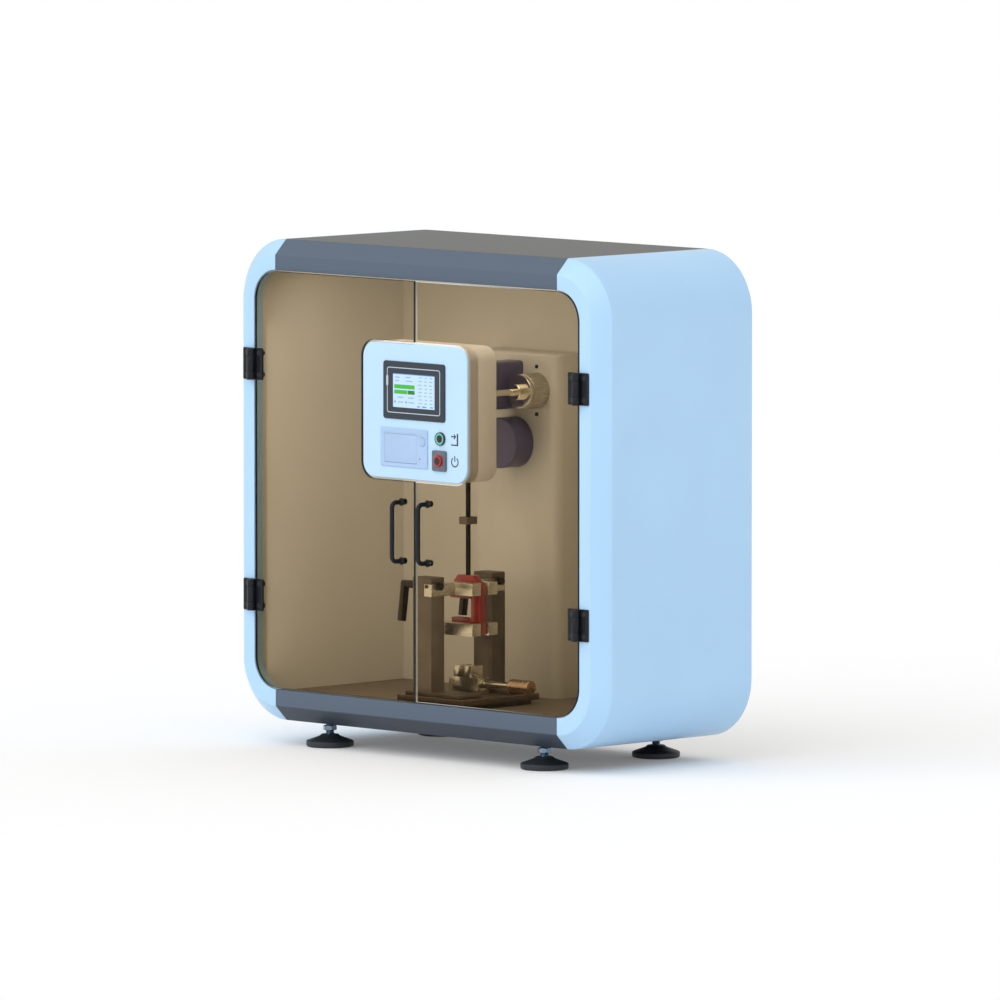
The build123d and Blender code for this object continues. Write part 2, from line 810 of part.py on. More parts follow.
def make_printer():
    """Panel printer: bezel with the paper bucket behind it, hinged paper door, paper roll, feed button."""
    x, z = printer_place()
    door_x = printer_left + printer_margin + printer_door_width / 2
    door_low = up(printer_bottom) + printer_foot
    door_z = door_low + printer_door_height / 2
    button_x = door_x + printer_door_width / 2 + feed_button_gap + feed_button_diameter / 2
    button = (button_x, z + feed_button_rise)
    knuckle = printer_door_sheet / 2
    with BuildPart() as printer_bezel:
        with BuildSketch(upright(front_y)):
            with Locations((x, z)):
                RectangleRounded(printer_width, printer_height, 3)
        extrude(amount=printer_proud)
        chamfer(printer_bezel.faces().sort_by(Axis.Y)[0].edges(), 0.6)
        with BuildSketch(upright(back(printer_bucket_depth))):
            with Locations((x, z)):
                Rectangle(printer_width - 2 * printer_lap, printer_height - 2 * printer_lap)
        extrude(amount=printer_bucket_depth)
        with BuildSketch(upright(back(printer_bucket_depth - printer_wall))):
            with Locations((door_x, door_z)):
                Rectangle(printer_door_width - printer_wall, printer_door_height - printer_wall)
        extrude(amount=printer_bucket_depth, mode=Mode.SUBTRACT)
        with BuildSketch(upright(front_y + free_gap)):
            with Locations((door_x, door_z)):
                RectangleRounded(printer_door_width + 2 * free_gap, printer_door_height + 2 * free_gap, 1)
        extrude(amount=printer_door_sheet + free_gap, mode=Mode.SUBTRACT)
        with BuildSketch(upright(back(feed_bore_depth))):
            with Locations(button):
                Circle(feed_button_diameter / 2 + free_gap)
        extrude(amount=feed_bore_depth + printer_proud, mode=Mode.SUBTRACT)
    save(printer_bezel.part, "printer_bezel")
    with BuildPart() as printer_door:
        with BuildSketch(upright(front_y)):
            with Locations((door_x, door_z + knuckle / 2)):
                Rectangle(printer_door_width, printer_door_height - knuckle)
        extrude(amount=printer_door_sheet)
        with BuildSketch(cross_plane(door_x - printer_door_width / 2)):
            with Locations((front_y - knuckle, door_low + knuckle)):
                Circle(knuckle)
        extrude(amount=printer_door_width)
    save(printer_door.part, "printer_door")
    with BuildPart() as paper_roll:
        with BuildSketch(cross_plane(door_x - paper_width / 2)):
            with Locations((back(paper_diameter / 2 + paper_gap), door_z)):
                Circle(paper_diameter / 2)
                Circle(paper_core_diameter / 2, mode=Mode.SUBTRACT)
        extrude(amount=paper_width)
    save(paper_roll.part, "paper_roll")
    with BuildPart() as feed_button:
        with BuildSketch(upright(back(feed_button_depth))):
            with Locations(button):
                Circle(feed_button_diameter / 2)
        extrude(amount=feed_button_depth + printer_proud + feed_button_proud)
        fillet(feed_button.faces().sort_by(Axis.Y)[0].edges(), 0.5)
    save(feed_button.part, "feed_button")


def make_switches():
    """Impact button in its lit ring, and the power button in its square escutcheon."""
    x, z = console_place(impact_centre)
    button_depth = switch_bore_depth - button_travel - button_spring_room
    with BuildPart() as impact_ring:
        with BuildSketch(upright(front_y)):
            with Locations((x, z)):
                Circle(impact_ring_diameter / 2)
        extrude(amount=impact_ring_proud)
        fillet(impact_ring.faces().sort_by(Axis.Y)[0].edges(), 1.2)
        with BuildSketch(upright(back(impact_barrel_depth))):
            with Locations((x, z)):
                Circle(impact_ring_diameter / 2 - impact_barrel_step)
        extrude(amount=impact_barrel_depth)
        with BuildSketch(upright(back(switch_bore_depth))):
            with Locations((x, z)):
                Circle(impact_button_diameter / 2 + free_gap)
        extrude(amount=switch_bore_depth + impact_ring_proud, mode=Mode.SUBTRACT)
    save(impact_ring.part, "impact_ring")
    with BuildPart() as impact_button:
        with BuildSketch(upright(back(button_depth))):
            with Locations((x, z)):
                Circle(impact_button_diameter / 2)
        extrude(amount=button_depth + impact_ring_proud)
        fillet(impact_button.faces().sort_by(Axis.Y)[0].edges(), 0.8)
    save(impact_button.part, "impact_button")
    x, z = console_place(power_centre)
    with BuildPart() as power_escutcheon:
        with BuildSketch(upright(front_y)):
            with Locations((x, z)):
                RectangleRounded(power_plate_width, power_plate_height, 2.5)
        extrude(amount=power_plate)
        chamfer(power_escutcheon.faces().sort_by(Axis.Y)[0].edges(), 1)
        with BuildSketch(upright(back(power_barrel_depth))):
            with Locations((x, z)):
                Circle(power_button_diameter / 2 + power_barrel_wall)
        extrude(amount=power_barrel_depth)
        with BuildSketch(upright(back(switch_bore_depth))):
            with Locations((x, z)):
                Circle(power_button_diameter / 2 + free_gap)
        extrude(amount=switch_bore_depth + power_plate, mode=Mode.SUBTRACT)
    save(power_escutcheon.part, "power_escutcheon")
    with BuildPart() as power_button:
        with BuildSketch(upright(back(button_depth))):
            with Locations((x, z)):
                Circle(power_button_diameter / 2)
        extrude(amount=button_depth + power_plate + power_button_proud)
        fillet(power_button.faces().sort_by(Axis.Y)[0].edges(), 1.5)
    save(power_button.part, "power_button")


def make_console_arm():
    """Arm from the tower to the control box, cut away below where the pendulum swings past it."""
    start = back(console_depth)
    step_y = tower_face_y - arm_rear_length
    with BuildPart() as console_arm:
        with BuildSketch(cross_plane(arm_right_face - arm_width)):
            with BuildLine():
                Polyline(
                    (start, up(arm_clear_bottom)), (step_y - arm_width, up(arm_clear_bottom)),
                    (step_y, up(arm_bottom)), (tower_face_y, up(arm_bottom)),
                    (tower_face_y, up(arm_top)), (start, up(arm_top)), (start, up(arm_clear_bottom)),
                )
            make_face()
        extrude(amount=arm_width)
        runs = console_arm.edges().filter_by(lambda edge: abs(edge.tangent_at(0.5).Y) > 0.1)
        fillet(runs, arm_radius)
    save(console_arm.part, "console_arm")


# Tower and drive

def make_tower_cover():
    """Tower cover: a box open at the back and at the floor, with holes for the boss and the motor."""
    height = tower_top - deck_height
    depth = tower_depth - tower_wall
    with BuildPart() as tower_cover:
        with BuildSketch(Plane.XY.offset(deck_z)):
            with Locations((motor_x, panel_face_y - tower_depth / 2)):
                Rectangle(tower_width, tower_depth)
        extrude(amount=height)
        fillet(tower_cover.edges().filter_by(Axis.Z).group_by(Axis.Y)[0], tower_edge_radius)
        fillet(tower_cover.faces().sort_by(Axis.Z)[-1].edges().group_by(Axis.Y)[0], tower_top_radius)
        with BuildSketch(Plane.XY.offset(deck_z)) as hollow:
            with Locations((motor_x, panel_face_y - depth / 2)):
                Rectangle(tower_width - 2 * tower_wall, depth)
            fillet(hollow.vertices().group_by(Axis.Y)[0], tower_edge_radius - tower_wall)
        extrude(amount=height - tower_wall, mode=Mode.SUBTRACT)
        with BuildSketch(upright(tower_face_y + tower_wall)):
            with Locations((0, spindle_z)):
                Circle(boss_diameter / 2 - spigot_step + panel_gap)
            with Locations((motor_x, up(motor_height))):
                Circle(motor_diameter / 2 + panel_gap)
            with Locations(*tower_screw_places()):
                Circle(screw_diameter / 2 + running_fit)
        extrude(amount=tower_wall, mode=Mode.SUBTRACT)
    save(tower_cover.part, "tower_cover")


def tower_screw_places():
    """Screws above and below the bearing boss."""
    reach = boss_diameter / 2 + tower_screw_gap
    return [(0, spindle_z + s * reach) for s in (-1, 1)]


def make_drive_bracket():
    """Bracket inside the tower: a plate behind its face on a foot bolted to the floor."""
    width = tower_width - 2 * tower_edge_radius
    height = tower_top - deck_height - tower_edge_radius
    with BuildPart() as drive_bracket:
        with BuildSketch(upright(bracket_y)):
            with Locations((motor_x, deck_z + height / 2)):
                Rectangle(width, height)
            with Locations((0, spindle_z)):
                Circle(boss_diameter / 2 - spigot_step + panel_gap, mode=Mode.SUBTRACT)
            with Locations((motor_x, up(motor_height))):
                Circle(motor_diameter / 2 + panel_gap, mode=Mode.SUBTRACT)
            with Locations(*tower_screw_places()):
                Circle(screw_diameter / 2 + running_fit, mode=Mode.SUBTRACT)
            with Locations((motor_x, deck_z + height / 3)):
                Rectangle(width / 2, height / 3, mode=Mode.SUBTRACT)
        extrude(amount=bracket_sheet)
        with BuildSketch(Plane.XY.offset(deck_z)):
            with Locations((motor_x, bracket_y + bracket_foot / 2)):
                Rectangle(width, bracket_foot)
        extrude(amount=bracket_sheet)
    save(drive_bracket.part, "drive_bracket")


def make_bearing_housing():
    """Bearing boss in front of the tower's face, with a spigot through the bracket and two bearing seats."""
    with BuildPart() as bearing_housing:
        with BuildSketch(upright(tower_face_y)):
            with Locations((0, spindle_z)):
                Circle(boss_diameter / 2)
        extrude(amount=boss_length)
        fillet(bearing_housing.faces().sort_by(Axis.Y)[0].edges(), 2)
        with BuildSketch(upright(spigot_y)):
            with Locations((0, spindle_z)):
                Circle(boss_diameter / 2 - spigot_step)
        extrude(amount=spigot_y - tower_face_y)
        with BuildSketch(upright(spigot_y)):
            with Locations((0, spindle_z)):
                Circle(spindle_diameter / 2 + spindle_room)
        extrude(amount=spigot_y - boss_face_y, mode=Mode.SUBTRACT)
        for seat_y in (spigot_y, boss_face_y + bearing_width):
            with BuildSketch(upright(seat_y)):
                with Locations((0, spindle_z)):
                    Circle(bearing_diameter / 2)
            extrude(amount=bearing_width, mode=Mode.SUBTRACT)
    save(bearing_housing.part, "bearing_housing")
    with BuildPart() as spindle_bearings:
        for seat_y in (spigot_y, boss_face_y + bearing_width):
            with BuildSketch(upright(seat_y)):
                with Locations((0, spindle_z)):
                    Circle(bearing_diameter / 2)
                    Circle(spindle_diameter / 2 + running_fit, mode=Mode.SUBTRACT)
            extrude(amount=bearing_width)
    save(spindle_bearings.part, "spindle_bearings")


def make_spindle():
    """Spindle from the rod's hub back through both bearings to the encoder, and its brake disc."""
    start_y = rod_y - hub_width / 2
    end_y = encoder_y + encoder_depth - pulley_gap
    with BuildPart() as spindle:
        with BuildSketch(upright(end_y)):
            with Locations((0, spindle_z)):
                Circle(spindle_diameter / 2)
        extrude(amount=end_y - start_y)
        chamfer(spindle.edges().filter_by(GeomType.CIRCLE), 0.5)
    save(spindle.part, "spindle")
    disc_y = boss_face_y - free_gap
    with BuildPart() as brake_rotor:
        with BuildSketch(upright(disc_y)):
            with Locations((0, spindle_z)):
                Circle(brake_disc_diameter / 2)
        extrude(amount=brake_disc)
        chamfer(brake_rotor.edges().filter_by(GeomType.CIRCLE), 0.6)
        with BuildSketch(upright(disc_y - brake_disc)):
            with Locations((0, spindle_z)):
                Circle(brake_hub_diameter / 2)
        extrude(amount=brake_hub)
        chamfer(brake_rotor.faces().sort_by(Axis.Y)[0].edges(), 1)
        with BuildSketch(upright(disc_y)):
            with Locations((0, spindle_z)):
                Circle(spindle_diameter / 2)
        extrude(amount=brake_disc + brake_hub, mode=Mode.SUBTRACT)
    save(brake_rotor.part, "brake_rotor")


def belt_outline(grow, mode=Mode.ADD):
    """Outline round both pulleys and the belt's two runs between them, grown outwards."""
    spindle_place = Vector(0, spindle_z)
    motor_place = Vector(motor_x, up(motor_height))
    large = driven_pulley_diameter / 2 + grow
    small = motor_pulley_diameter / 2 + grow
    run = motor_place - spindle_place
    along = run.normalized()
    across = Vector(-along.Y, along.X)
    lean = (large - small) / run.length
    normals = [along * lean + across * s * (1 - lean ** 2) ** 0.5 for s in (1, -1)]
    ends = [spindle_place + normals[0] * large, motor_place + normals[0] * small]
    ends += [motor_place + normals[1] * small, spindle_place + normals[1] * large]
    Polygon(*[(end.X, end.Y) for end in ends], align=None, mode=mode)
    with Locations(spindle_place):
        Circle(large, mode=mode)
    with Locations(motor_place):
        Circle(small, mode=mode)


def make_drive():
    """Lift motor, its pulley, the spindle's free pulley, the belt and the angle encoder."""
    motor = (motor_x, up(motor_height))
    leg = encoder_y + encoder_depth - bracket_y
    with BuildPart() as lift_motor:
        with BuildSketch(upright(motor_rear_y)):
            with Locations(motor):
                Circle(motor_diameter / 2)
        extrude(amount=motor_rear_y - motor_front_y)
        fillet(lift_motor.faces().sort_by(Axis.Y)[0].edges(), 2)
        with BuildSketch(upright(motor_front_y + motor_recess)):
            with Locations(motor):
                Circle(motor_diameter / 2 - motor_rim)
        extrude(amount=motor_recess, mode=Mode.SUBTRACT)
        with BuildSketch(upright(motor_rear_y)):
            with Locations(motor):
                Circle(motor_shaft_diameter / 2)
        extrude(amount=-(pulley_y + pulley_width - motor_rear_y))
    save(lift_motor.part, "lift_motor")
    pulleys = (
        ("motor_pulley", motor, motor_pulley_diameter, motor_shaft_diameter / 2 + running_fit),
        ("driven_pulley", (0, spindle_z), driven_pulley_diameter, spindle_diameter / 2 + running_fit),
    )
    for name, place, diameter, bore in pulleys:
        teeth = round(diameter)
        with BuildPart() as pulley:
            with BuildSketch(upright(pulley_y + pulley_width)):
                with Locations(place):
                    Circle(diameter / 2)
                    with PolarLocations(diameter / 2 + tooth_offset, teeth // 2):
                        Circle(tooth_diameter / 2, mode=Mode.SUBTRACT)
                    Circle(bore, mode=Mode.SUBTRACT)
            extrude(amount=pulley_width)
        save(pulley.part, name)
    with BuildPart() as drive_belt:
        with BuildSketch(upright(pulley_y + pulley_width - belt_edge)):
            belt_outline(free_gap + belt_sheet)
            belt_outline(free_gap, mode=Mode.SUBTRACT)
        extrude(amount=pulley_width - 2 * belt_edge)
    save(drive_belt.part, "drive_belt")
    with BuildPart() as angle_encoder:
        with BuildSketch(upright(encoder_y + encoder_depth)):
            with Locations((0, spindle_z)):
                Circle(encoder_diameter / 2)
        extrude(amount=encoder_depth)
        with BuildSketch(upright(encoder_y + encoder_depth - 2)):
            with Locations((0, spindle_z)):
                Circle(spindle_diameter / 2 + running_fit)
        extrude(amount=encoder_depth, mode=Mode.SUBTRACT)
        with BuildSketch(upright(encoder_y + encoder_depth)):
            with Locations((0, spindle_z + encoder_strap_reach / 2)):
                Rectangle(encoder_strap_width, encoder_strap_reach)
            with Locations((0, spindle_z)):
                Circle(encoder_diameter / 2 - 1, mode=Mode.SUBTRACT)
        extrude(amount=encoder_strap)
        with BuildSketch(Plane.XY.offset(spindle_z + encoder_strap_reach - encoder_strap)):
            with Locations((0, encoder_y + encoder_depth - leg / 2)):
                Rectangle(encoder_strap_width, leg)
        extrude(amount=encoder_strap)
    save(angle_encoder.part, "angle_encoder")


# Pendulum

def make_pendulum():
    """Hub, rod, sliding trim weight and the hammer with its striker insert."""
    hub_z = spindle_z - hub_diameter / 2
    socket_z = up(hammer_top) - rod_socket
    with BuildPart() as hub:
        with BuildSketch(upright(rod_y + hub_width / 2)):
            with Locations((0, spindle_z)):
                Circle(hub_diameter / 2)
        extrude(amount=hub_width)
        with BuildSketch(Plane.XY.offset(hub_z - hub_neck)):
            with Locations((0, rod_y)):
                Circle(rod_diameter)
        extrude(amount=hub_neck + hub_socket)
        with BuildSketch(upright(rod_y + hub_width / 2)):
            with Locations((0, spindle_z)):
                Circle(spindle_diameter / 2)
        extrude(amount=hub_width, mode=Mode.SUBTRACT)
        with BuildSketch(Plane.XY.offset(hub_z - hub_neck)):
            with Locations((0, rod_y)):
                Circle(rod_diameter / 2)
        extrude(amount=hub_neck + hub_socket, mode=Mode.SUBTRACT)
    save(hub.part, "pendulum_hub")
    with BuildPart() as rod:
        with BuildSketch(Plane.XY.offset(socket_z)):
            with Locations((0, rod_y)):
                Circle(rod_diameter / 2)
        extrude(amount=hub_z + hub_socket - socket_z)
    save(rod.part, "pendulum_rod")
    with BuildPart() as trim_weight:
        with BuildSketch(Plane.XY.offset(up(hammer_top + trim_rise) - trim_height / 2)):
            with Locations((0, rod_y)):
                Rectangle(trim_width, trim_depth)
                Circle(rod_diameter / 2 + running_fit, mode=Mode.SUBTRACT)
        extrude(amount=trim_height)
        chamfer(trim_weight.edges().filter_by(Axis.Z), 0.6)
    save(trim_weight.part, "trim_weight")
    make_hammer(socket_z)


def make_hammer(socket_z):
    """C-shaped hammer plate, its throat open to the left, with the striker let into the throat's wall."""
    half = hammer_half_width
    web_foot = throat_bottom - lower_jaw_thickness
    with BuildPart() as hammer:
        with BuildSketch(upright(rod_y + hammer_thickness / 2)):
            with BuildLine():
                Polyline(
                    (-hammer_top_half_width, up(hammer_top)), (hammer_top_half_width, up(hammer_top)),
                    (half, up(hammer_top - hammer_shoulder)), (half, up(hammer_bottom)),
                    (web_foot_left, up(hammer_bottom)), (jaw_root, up(web_foot)),
                    (jaw_tip, up(web_foot)), (jaw_tip, up(throat_bottom)),
                    (throat_depth_x, up(throat_bottom)), (throat_depth_x, up(throat_top)),
                    (-half, up(throat_top)), (-half, up(hammer_top - hammer_shoulder)),
                    (-hammer_top_half_width, up(hammer_top)),
                )
            make_face()
        extrude(amount=hammer_thickness)
        throat = hammer.edges().filter_by(Axis.Y).filter_by(
            lambda e: abs(e.center().X - throat_depth_x) < 0.01 and e.center().Z > up(web_foot)
        )
        fillet(throat, 2)
        outer = hammer.edges().filter_by(Axis.Y).filter_by(lambda e: e.center().Z > up(throat_top) + 1)
        fillet(outer, 2)
        with BuildSketch(Plane.XY.offset(socket_z)):
            with Locations((0, rod_y)):
                Circle(rod_diameter / 2)
        extrude(amount=2 * rod_socket, mode=Mode.SUBTRACT)
        with BuildSketch(Plane.YZ.offset(throat_depth_x)):
            with Locations((rod_y, up(strike_height))):
                Rectangle(striker_thickness, striker_height)
        extrude(amount=striker_seat, mode=Mode.SUBTRACT)
    save(hammer.part, "hammer")
    with BuildPart() as striker:
        with BuildSketch(Plane.YZ.offset(throat_depth_x + striker_seat)):
            with Locations((rod_y, up(strike_height))):
                Rectangle(striker_thickness, striker_height)
        extrude(amount=-striker_seat - striker_proud)
        nose = striker.faces().sort_by(Axis.X)[0]
        chamfer(nose.edges().filter_by(Axis.Z), 0.8)
    save(striker.part, "striker")


# Test frame

def column_middle(row):
    """Middle of a column's depth: the two stand column_spacing apart about the hammer's plane."""
    return rod_y + row * column_spacing / 2


def make_base_plate():
    """Base plate on a narrower foot, so that a dark gap shows below its edge."""
    with BuildPart() as base_plate:
        with BuildSketch(Plane.XY.offset(plate_z - plate_sheet)):
            with Locations((0, rod_y)):
                RectangleRounded(plate_width, plate_depth, plate_radius)
        extrude(amount=plate_sheet)
        chamfer(base_plate.faces().sort_by(Axis.Z)[-1].edges(), 0.8)
        with BuildSketch(Plane.XY.offset(deck_z)):
            with Locations((0, rod_y)):
                Rectangle(plate_width - 2 * plate_foot_inset, plate_depth - 2 * plate_foot_inset)
        extrude(amount=plate_z - plate_sheet - deck_z)
    save(base_plate.part, "base_plate")


def make_columns():
    """Two columns with welded feet. A notch in each top takes the upper arm, a cross bore the lever."""
    foot_x = (column_foot_left + column_foot_right) / 2
    with BuildPart() as side_columns:
        for row in rows.values():
            middle = column_middle(row)
            outer = middle + row * column_depth / 2
            with BuildSketch(Plane.XY.offset(column_foot_z)):
                with Locations((column_left / 2, middle)):
                    Rectangle(column_width, column_depth)
            extrude(amount=up(column_top) - column_foot_z)
            with BuildSketch(Plane.XY.offset(plate_z)):
                with Locations((foot_x, outer - row * column_foot_depth / 2)):
                    Rectangle(column_foot_right - column_foot_left, column_foot_depth)
            extrude(amount=column_foot_sheet)
            with BuildSketch(Plane.XY.offset(up(upper_bar_bottom))):
                with Locations((-upper_notch / 2, middle)):
                    Rectangle(upper_notch, column_depth)
            extrude(amount=bar_height, mode=Mode.SUBTRACT)
            with BuildSketch(cross_plane(column_left)):
                with Locations((middle, up(lever_height))):
                    Circle(lever_shaft_diameter / 2 + running_fit)
            extrude(amount=column_width, mode=Mode.SUBTRACT)
        chamfer(side_columns.faces().sort_by(Axis.Z)[-2:].edges(), 0.8)
    save(side_columns.part, "side_columns")


def make_arms():
    """Upper and lower arms: each is an angle from a column to a bar beside the hammer's path."""
    for name, left, run_width, height, run_start in (
        ("upper_arms", -upper_notch, upper_run_width, upper_bar_bottom, 1),
        ("lower_arms", column_left, lower_run_width, lower_bar_bottom, -1),
    ):
        with BuildPart() as arms:
            for row in rows.values():
                start = column_middle(row) + row * run_start * column_depth / 2
                bar_inner = rod_y + row * bar_half_gap
                with BuildSketch(Plane.XY.offset(up(height))):
                    with Locations(((bar_end + left) / 2, bar_inner + row * bar_width / 2)):
                        Rectangle(bar_end - left, bar_width)
                    with Locations((left + run_width / 2, (start + bar_inner) / 2)):
                        Rectangle(run_width, abs(start - bar_inner))
                extrude(amount=bar_height)
            chamfer(arms.faces().sort_by(Axis.Z)[-2:].edges(), 0.6)
            if run_start > 0:
                with BuildSketch(cross_plane(left)):
                    with Locations(*[(column_middle(row), up(lever_height)) for row in rows.values()]):
                        Circle(draw_bolt_diameter / 2 + running_fit)
                extrude(amount=run_width, mode=Mode.SUBTRACT)
        save(arms.part, name)


def make_levers():
    """Clamp levers: a shaft through the column, drawn up by a bolt and nut, with a hanging grip."""
    for name, row in rows.items():
        middle = column_middle(row)
        z = up(lever_height)
        face = upper_run_proud + free_gap
        grip = Plane(origin=(lever_end, middle, z), x_dir=(0, 1, 0), z_dir=(1, 0, 0))
        with BuildPart() as lever:
            with BuildSketch(cross_plane(lever_end)):
                with Locations((middle, z)):
                    Circle(lever_shaft_diameter / 2)
            extrude(amount=-upper_notch - free_gap - lever_end)
            with BuildSketch(cross_plane(lever_end)):
                with Locations((middle, z)):
                    Circle(draw_bolt_diameter / 2)
            extrude(amount=face + draw_nut - lever_end)
            with BuildSketch(cross_plane(face)):
                with Locations((middle, z)):
                    RegularPolygon(draw_nut_diameter / 2, 6)
            extrude(amount=draw_nut)
            with BuildSketch(grip):
                with Locations(Location((0, 0, 0), (0, 0, 1), -lever_lean)):
                    with Locations((0, -lever_length / 2)):
                        RectangleRounded(lever_depth, lever_length, 1)
            extrude(amount=lever_width)
        save(lever.part, f"{name}_lever")


def make_vise():
    """Specimen vise: body with the fixed jaw, moving jaw on its screw, and the screw with its knob."""
    z = plate_z
    jaw_z = z + vise_height
    screw_z = z + vise_screw_rise
    gap = jaw_opening / 2
    pocket_left = gap + 1.5 - jaw_opening
    pocket_right = vise_right - vise_wall
    with BuildPart() as vise_body:
        with BuildSketch(Plane.XY.offset(z)):
            with Locations(((vise_left + vise_right) / 2, rod_y)):
                Rectangle(vise_right - vise_left, vise_depth)
        extrude(amount=vise_height)
        with BuildSketch(Plane.XY.offset(z + vise_wall)):
            with Locations(((pocket_left + pocket_right) / 2, rod_y)):
                Rectangle(pocket_right - pocket_left, jaw_tongue + 2 * panel_gap)
        extrude(amount=vise_height, mode=Mode.SUBTRACT)
        with BuildSketch(Plane.XY.offset(jaw_z)):
            with Locations((-gap - jaw_width / 2, rod_y)):
                Rectangle(jaw_width, jaw_depth)
        extrude(amount=jaw_height)
        chamfer(vise_body.faces().sort_by(Axis.Z)[-1].edges(), 0.6)
        with BuildSketch(cross_plane(pocket_left - 6)):
            with Locations((rod_y, screw_z)):
                Circle(vise_screw_diameter / 2 + running_fit)
        extrude(amount=vise_right - pocket_left + 8, mode=Mode.SUBTRACT)
    save(vise_body.part, "vise_body")
    with BuildPart() as vise_jaw:
        with BuildSketch(Plane.XY.offset(jaw_z + panel_gap)):
            with Locations((gap + jaw_width / 2, rod_y)):
                Rectangle(jaw_width, jaw_depth)
        extrude(amount=jaw_height - panel_gap)
        chamfer(vise_jaw.faces().sort_by(Axis.Z)[-1].edges(), 0.6)
        with BuildSketch(Plane.XY.offset(z + vise_wall + panel_gap)):
            with Locations((gap + 2 + jaw_tongue / 2, rod_y)):
                Rectangle(jaw_tongue, jaw_tongue)
        extrude(amount=vise_height - vise_wall)
        with BuildSketch(cross_plane(0)):
            with Locations((rod_y, screw_z)):
                Circle(vise_screw_diameter / 2 + running_fit)
        extrude(amount=vise_right, mode=Mode.SUBTRACT)
    save(vise_jaw.part, "vise_jaw")
    make_vise_screw(screw_z, pocket_left)


def make_vise_screw(screw_z, start):
    """Vise screw with a tapered collar outside the body and a grooved knob on its end."""
    collar_left = vise_right + free_gap
    knob_left = vise_right + knob_start
    shank = vise_screw_diameter / 2
    taper_length = knob_left - collar_left - collar_neck
    with BuildPart() as vise_screw:
        with BuildSketch(cross_plane(start - 5)):
            with Locations((rod_y, screw_z)):
                Circle(shank)
        extrude(amount=knob_left - start + 5)
        with BuildSketch(cross_plane(collar_left)):
            with Locations((rod_y, screw_z)):
                Circle(collar_diameter / 2)
        with BuildSketch(cross_plane(collar_left + taper_length)):
            with Locations((rod_y, screw_z)):
                Circle(shank + collar_step)
        loft()
        with BuildSketch(cross_plane(knob_left)):
            with Locations((rod_y, screw_z)):
                Circle(knob_diameter / 2)
                with PolarLocations(knob_diameter / 2 + groove_offset, knob_grooves):
                    Circle(groove_diameter / 2, mode=Mode.SUBTRACT)
        extrude(amount=knob_length)
    save(vise_screw.part, "vise_screw")


def make_frame_screws():
    """Socket screws in the outer faces of the upper arms."""
    with BuildPart() as frame_screws:
        for row in rows.values():
            outer = column_middle(row) + row * column_depth / 2
            place = (arm_screw_inset - upper_notch, outer, up(upper_bar_bottom + arm_screw_rise))
            face = Plane(origin=place, x_dir=(1, 0, 0), z_dir=(0, row, 0))
            with BuildSketch(face):
                Circle(arm_screw_diameter / 2)
                RegularPolygon(arm_screw_diameter / 4, 6, mode=Mode.SUBTRACT)
            extrude(amount=arm_screw_head)
    save(frame_screws.part, "frame_screws")


make_shells()
make_chamber_floor()
make_back_panel()
make_power_inlet()
make_cabinet_screws()
make_feet()
for door_name, door_side in sides.items():
    make_pane(door_name, door_side)
    make_handle(door_name, door_side)
    make_door_screws(door_name, door_side)
make_hinges()
make_console_front()
make_console_body()
make_screen()
make_printer()
make_switches()
make_console_arm()
make_tower_cover()
make_drive_bracket()
make_bearing_housing()
make_spindle()
make_drive()
make_pendulum()
make_base_plate()
make_columns()
make_arms()
make_levers()
make_vise()
make_frame_screws()
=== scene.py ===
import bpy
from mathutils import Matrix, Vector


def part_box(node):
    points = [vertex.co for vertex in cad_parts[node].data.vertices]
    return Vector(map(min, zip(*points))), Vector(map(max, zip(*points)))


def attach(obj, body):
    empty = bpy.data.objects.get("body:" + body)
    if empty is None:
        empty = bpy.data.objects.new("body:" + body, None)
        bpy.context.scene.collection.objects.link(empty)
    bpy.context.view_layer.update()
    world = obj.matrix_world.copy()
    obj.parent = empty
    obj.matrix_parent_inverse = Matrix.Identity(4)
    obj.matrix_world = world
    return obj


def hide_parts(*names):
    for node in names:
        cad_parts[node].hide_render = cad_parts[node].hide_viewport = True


bl_info = {
    "name": "Pendulum impact tester",
    "version": (1, 0, 0),
    "blender": (4, 5, 0),
    "location": "View3D > Sidebar > Impact tester",
    "description": "Dresses the cabinet, its doors, control box, pendulum, test frame and vise",
    "category": "Object",
}

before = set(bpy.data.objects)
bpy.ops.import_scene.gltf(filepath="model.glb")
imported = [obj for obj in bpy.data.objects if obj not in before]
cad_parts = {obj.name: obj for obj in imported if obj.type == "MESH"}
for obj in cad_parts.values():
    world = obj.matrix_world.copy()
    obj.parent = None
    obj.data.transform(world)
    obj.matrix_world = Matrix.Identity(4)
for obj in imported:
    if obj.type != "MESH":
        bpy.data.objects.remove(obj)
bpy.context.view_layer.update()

from math import radians

import bpy
import numpy as np
from bpy.props import FloatProperty, FloatVectorProperty, IntProperty, PointerProperty
from mathutils import Matrix

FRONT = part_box("left_shell")[0][1]
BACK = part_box("left_shell")[1][1]
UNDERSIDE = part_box("left_shell")[0][2]
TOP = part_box("left_shell")[1][2]
HALF_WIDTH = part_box("right_shell")[1][0]
FORWARD = (0, -1, 0)
CIRCLE = 2 * np.pi


# Settings

def colour(name, text, value):
    """A colour setting."""
    return FloatVectorProperty(
        name=name, description=text, subtype="COLOR", size=3, min=0, max=1, default=value,
    )


def length(name, text, value):
    """A length setting in metres."""
    return FloatProperty(name=name, description=text, default=value, min=0, unit="LENGTH", precision=4)


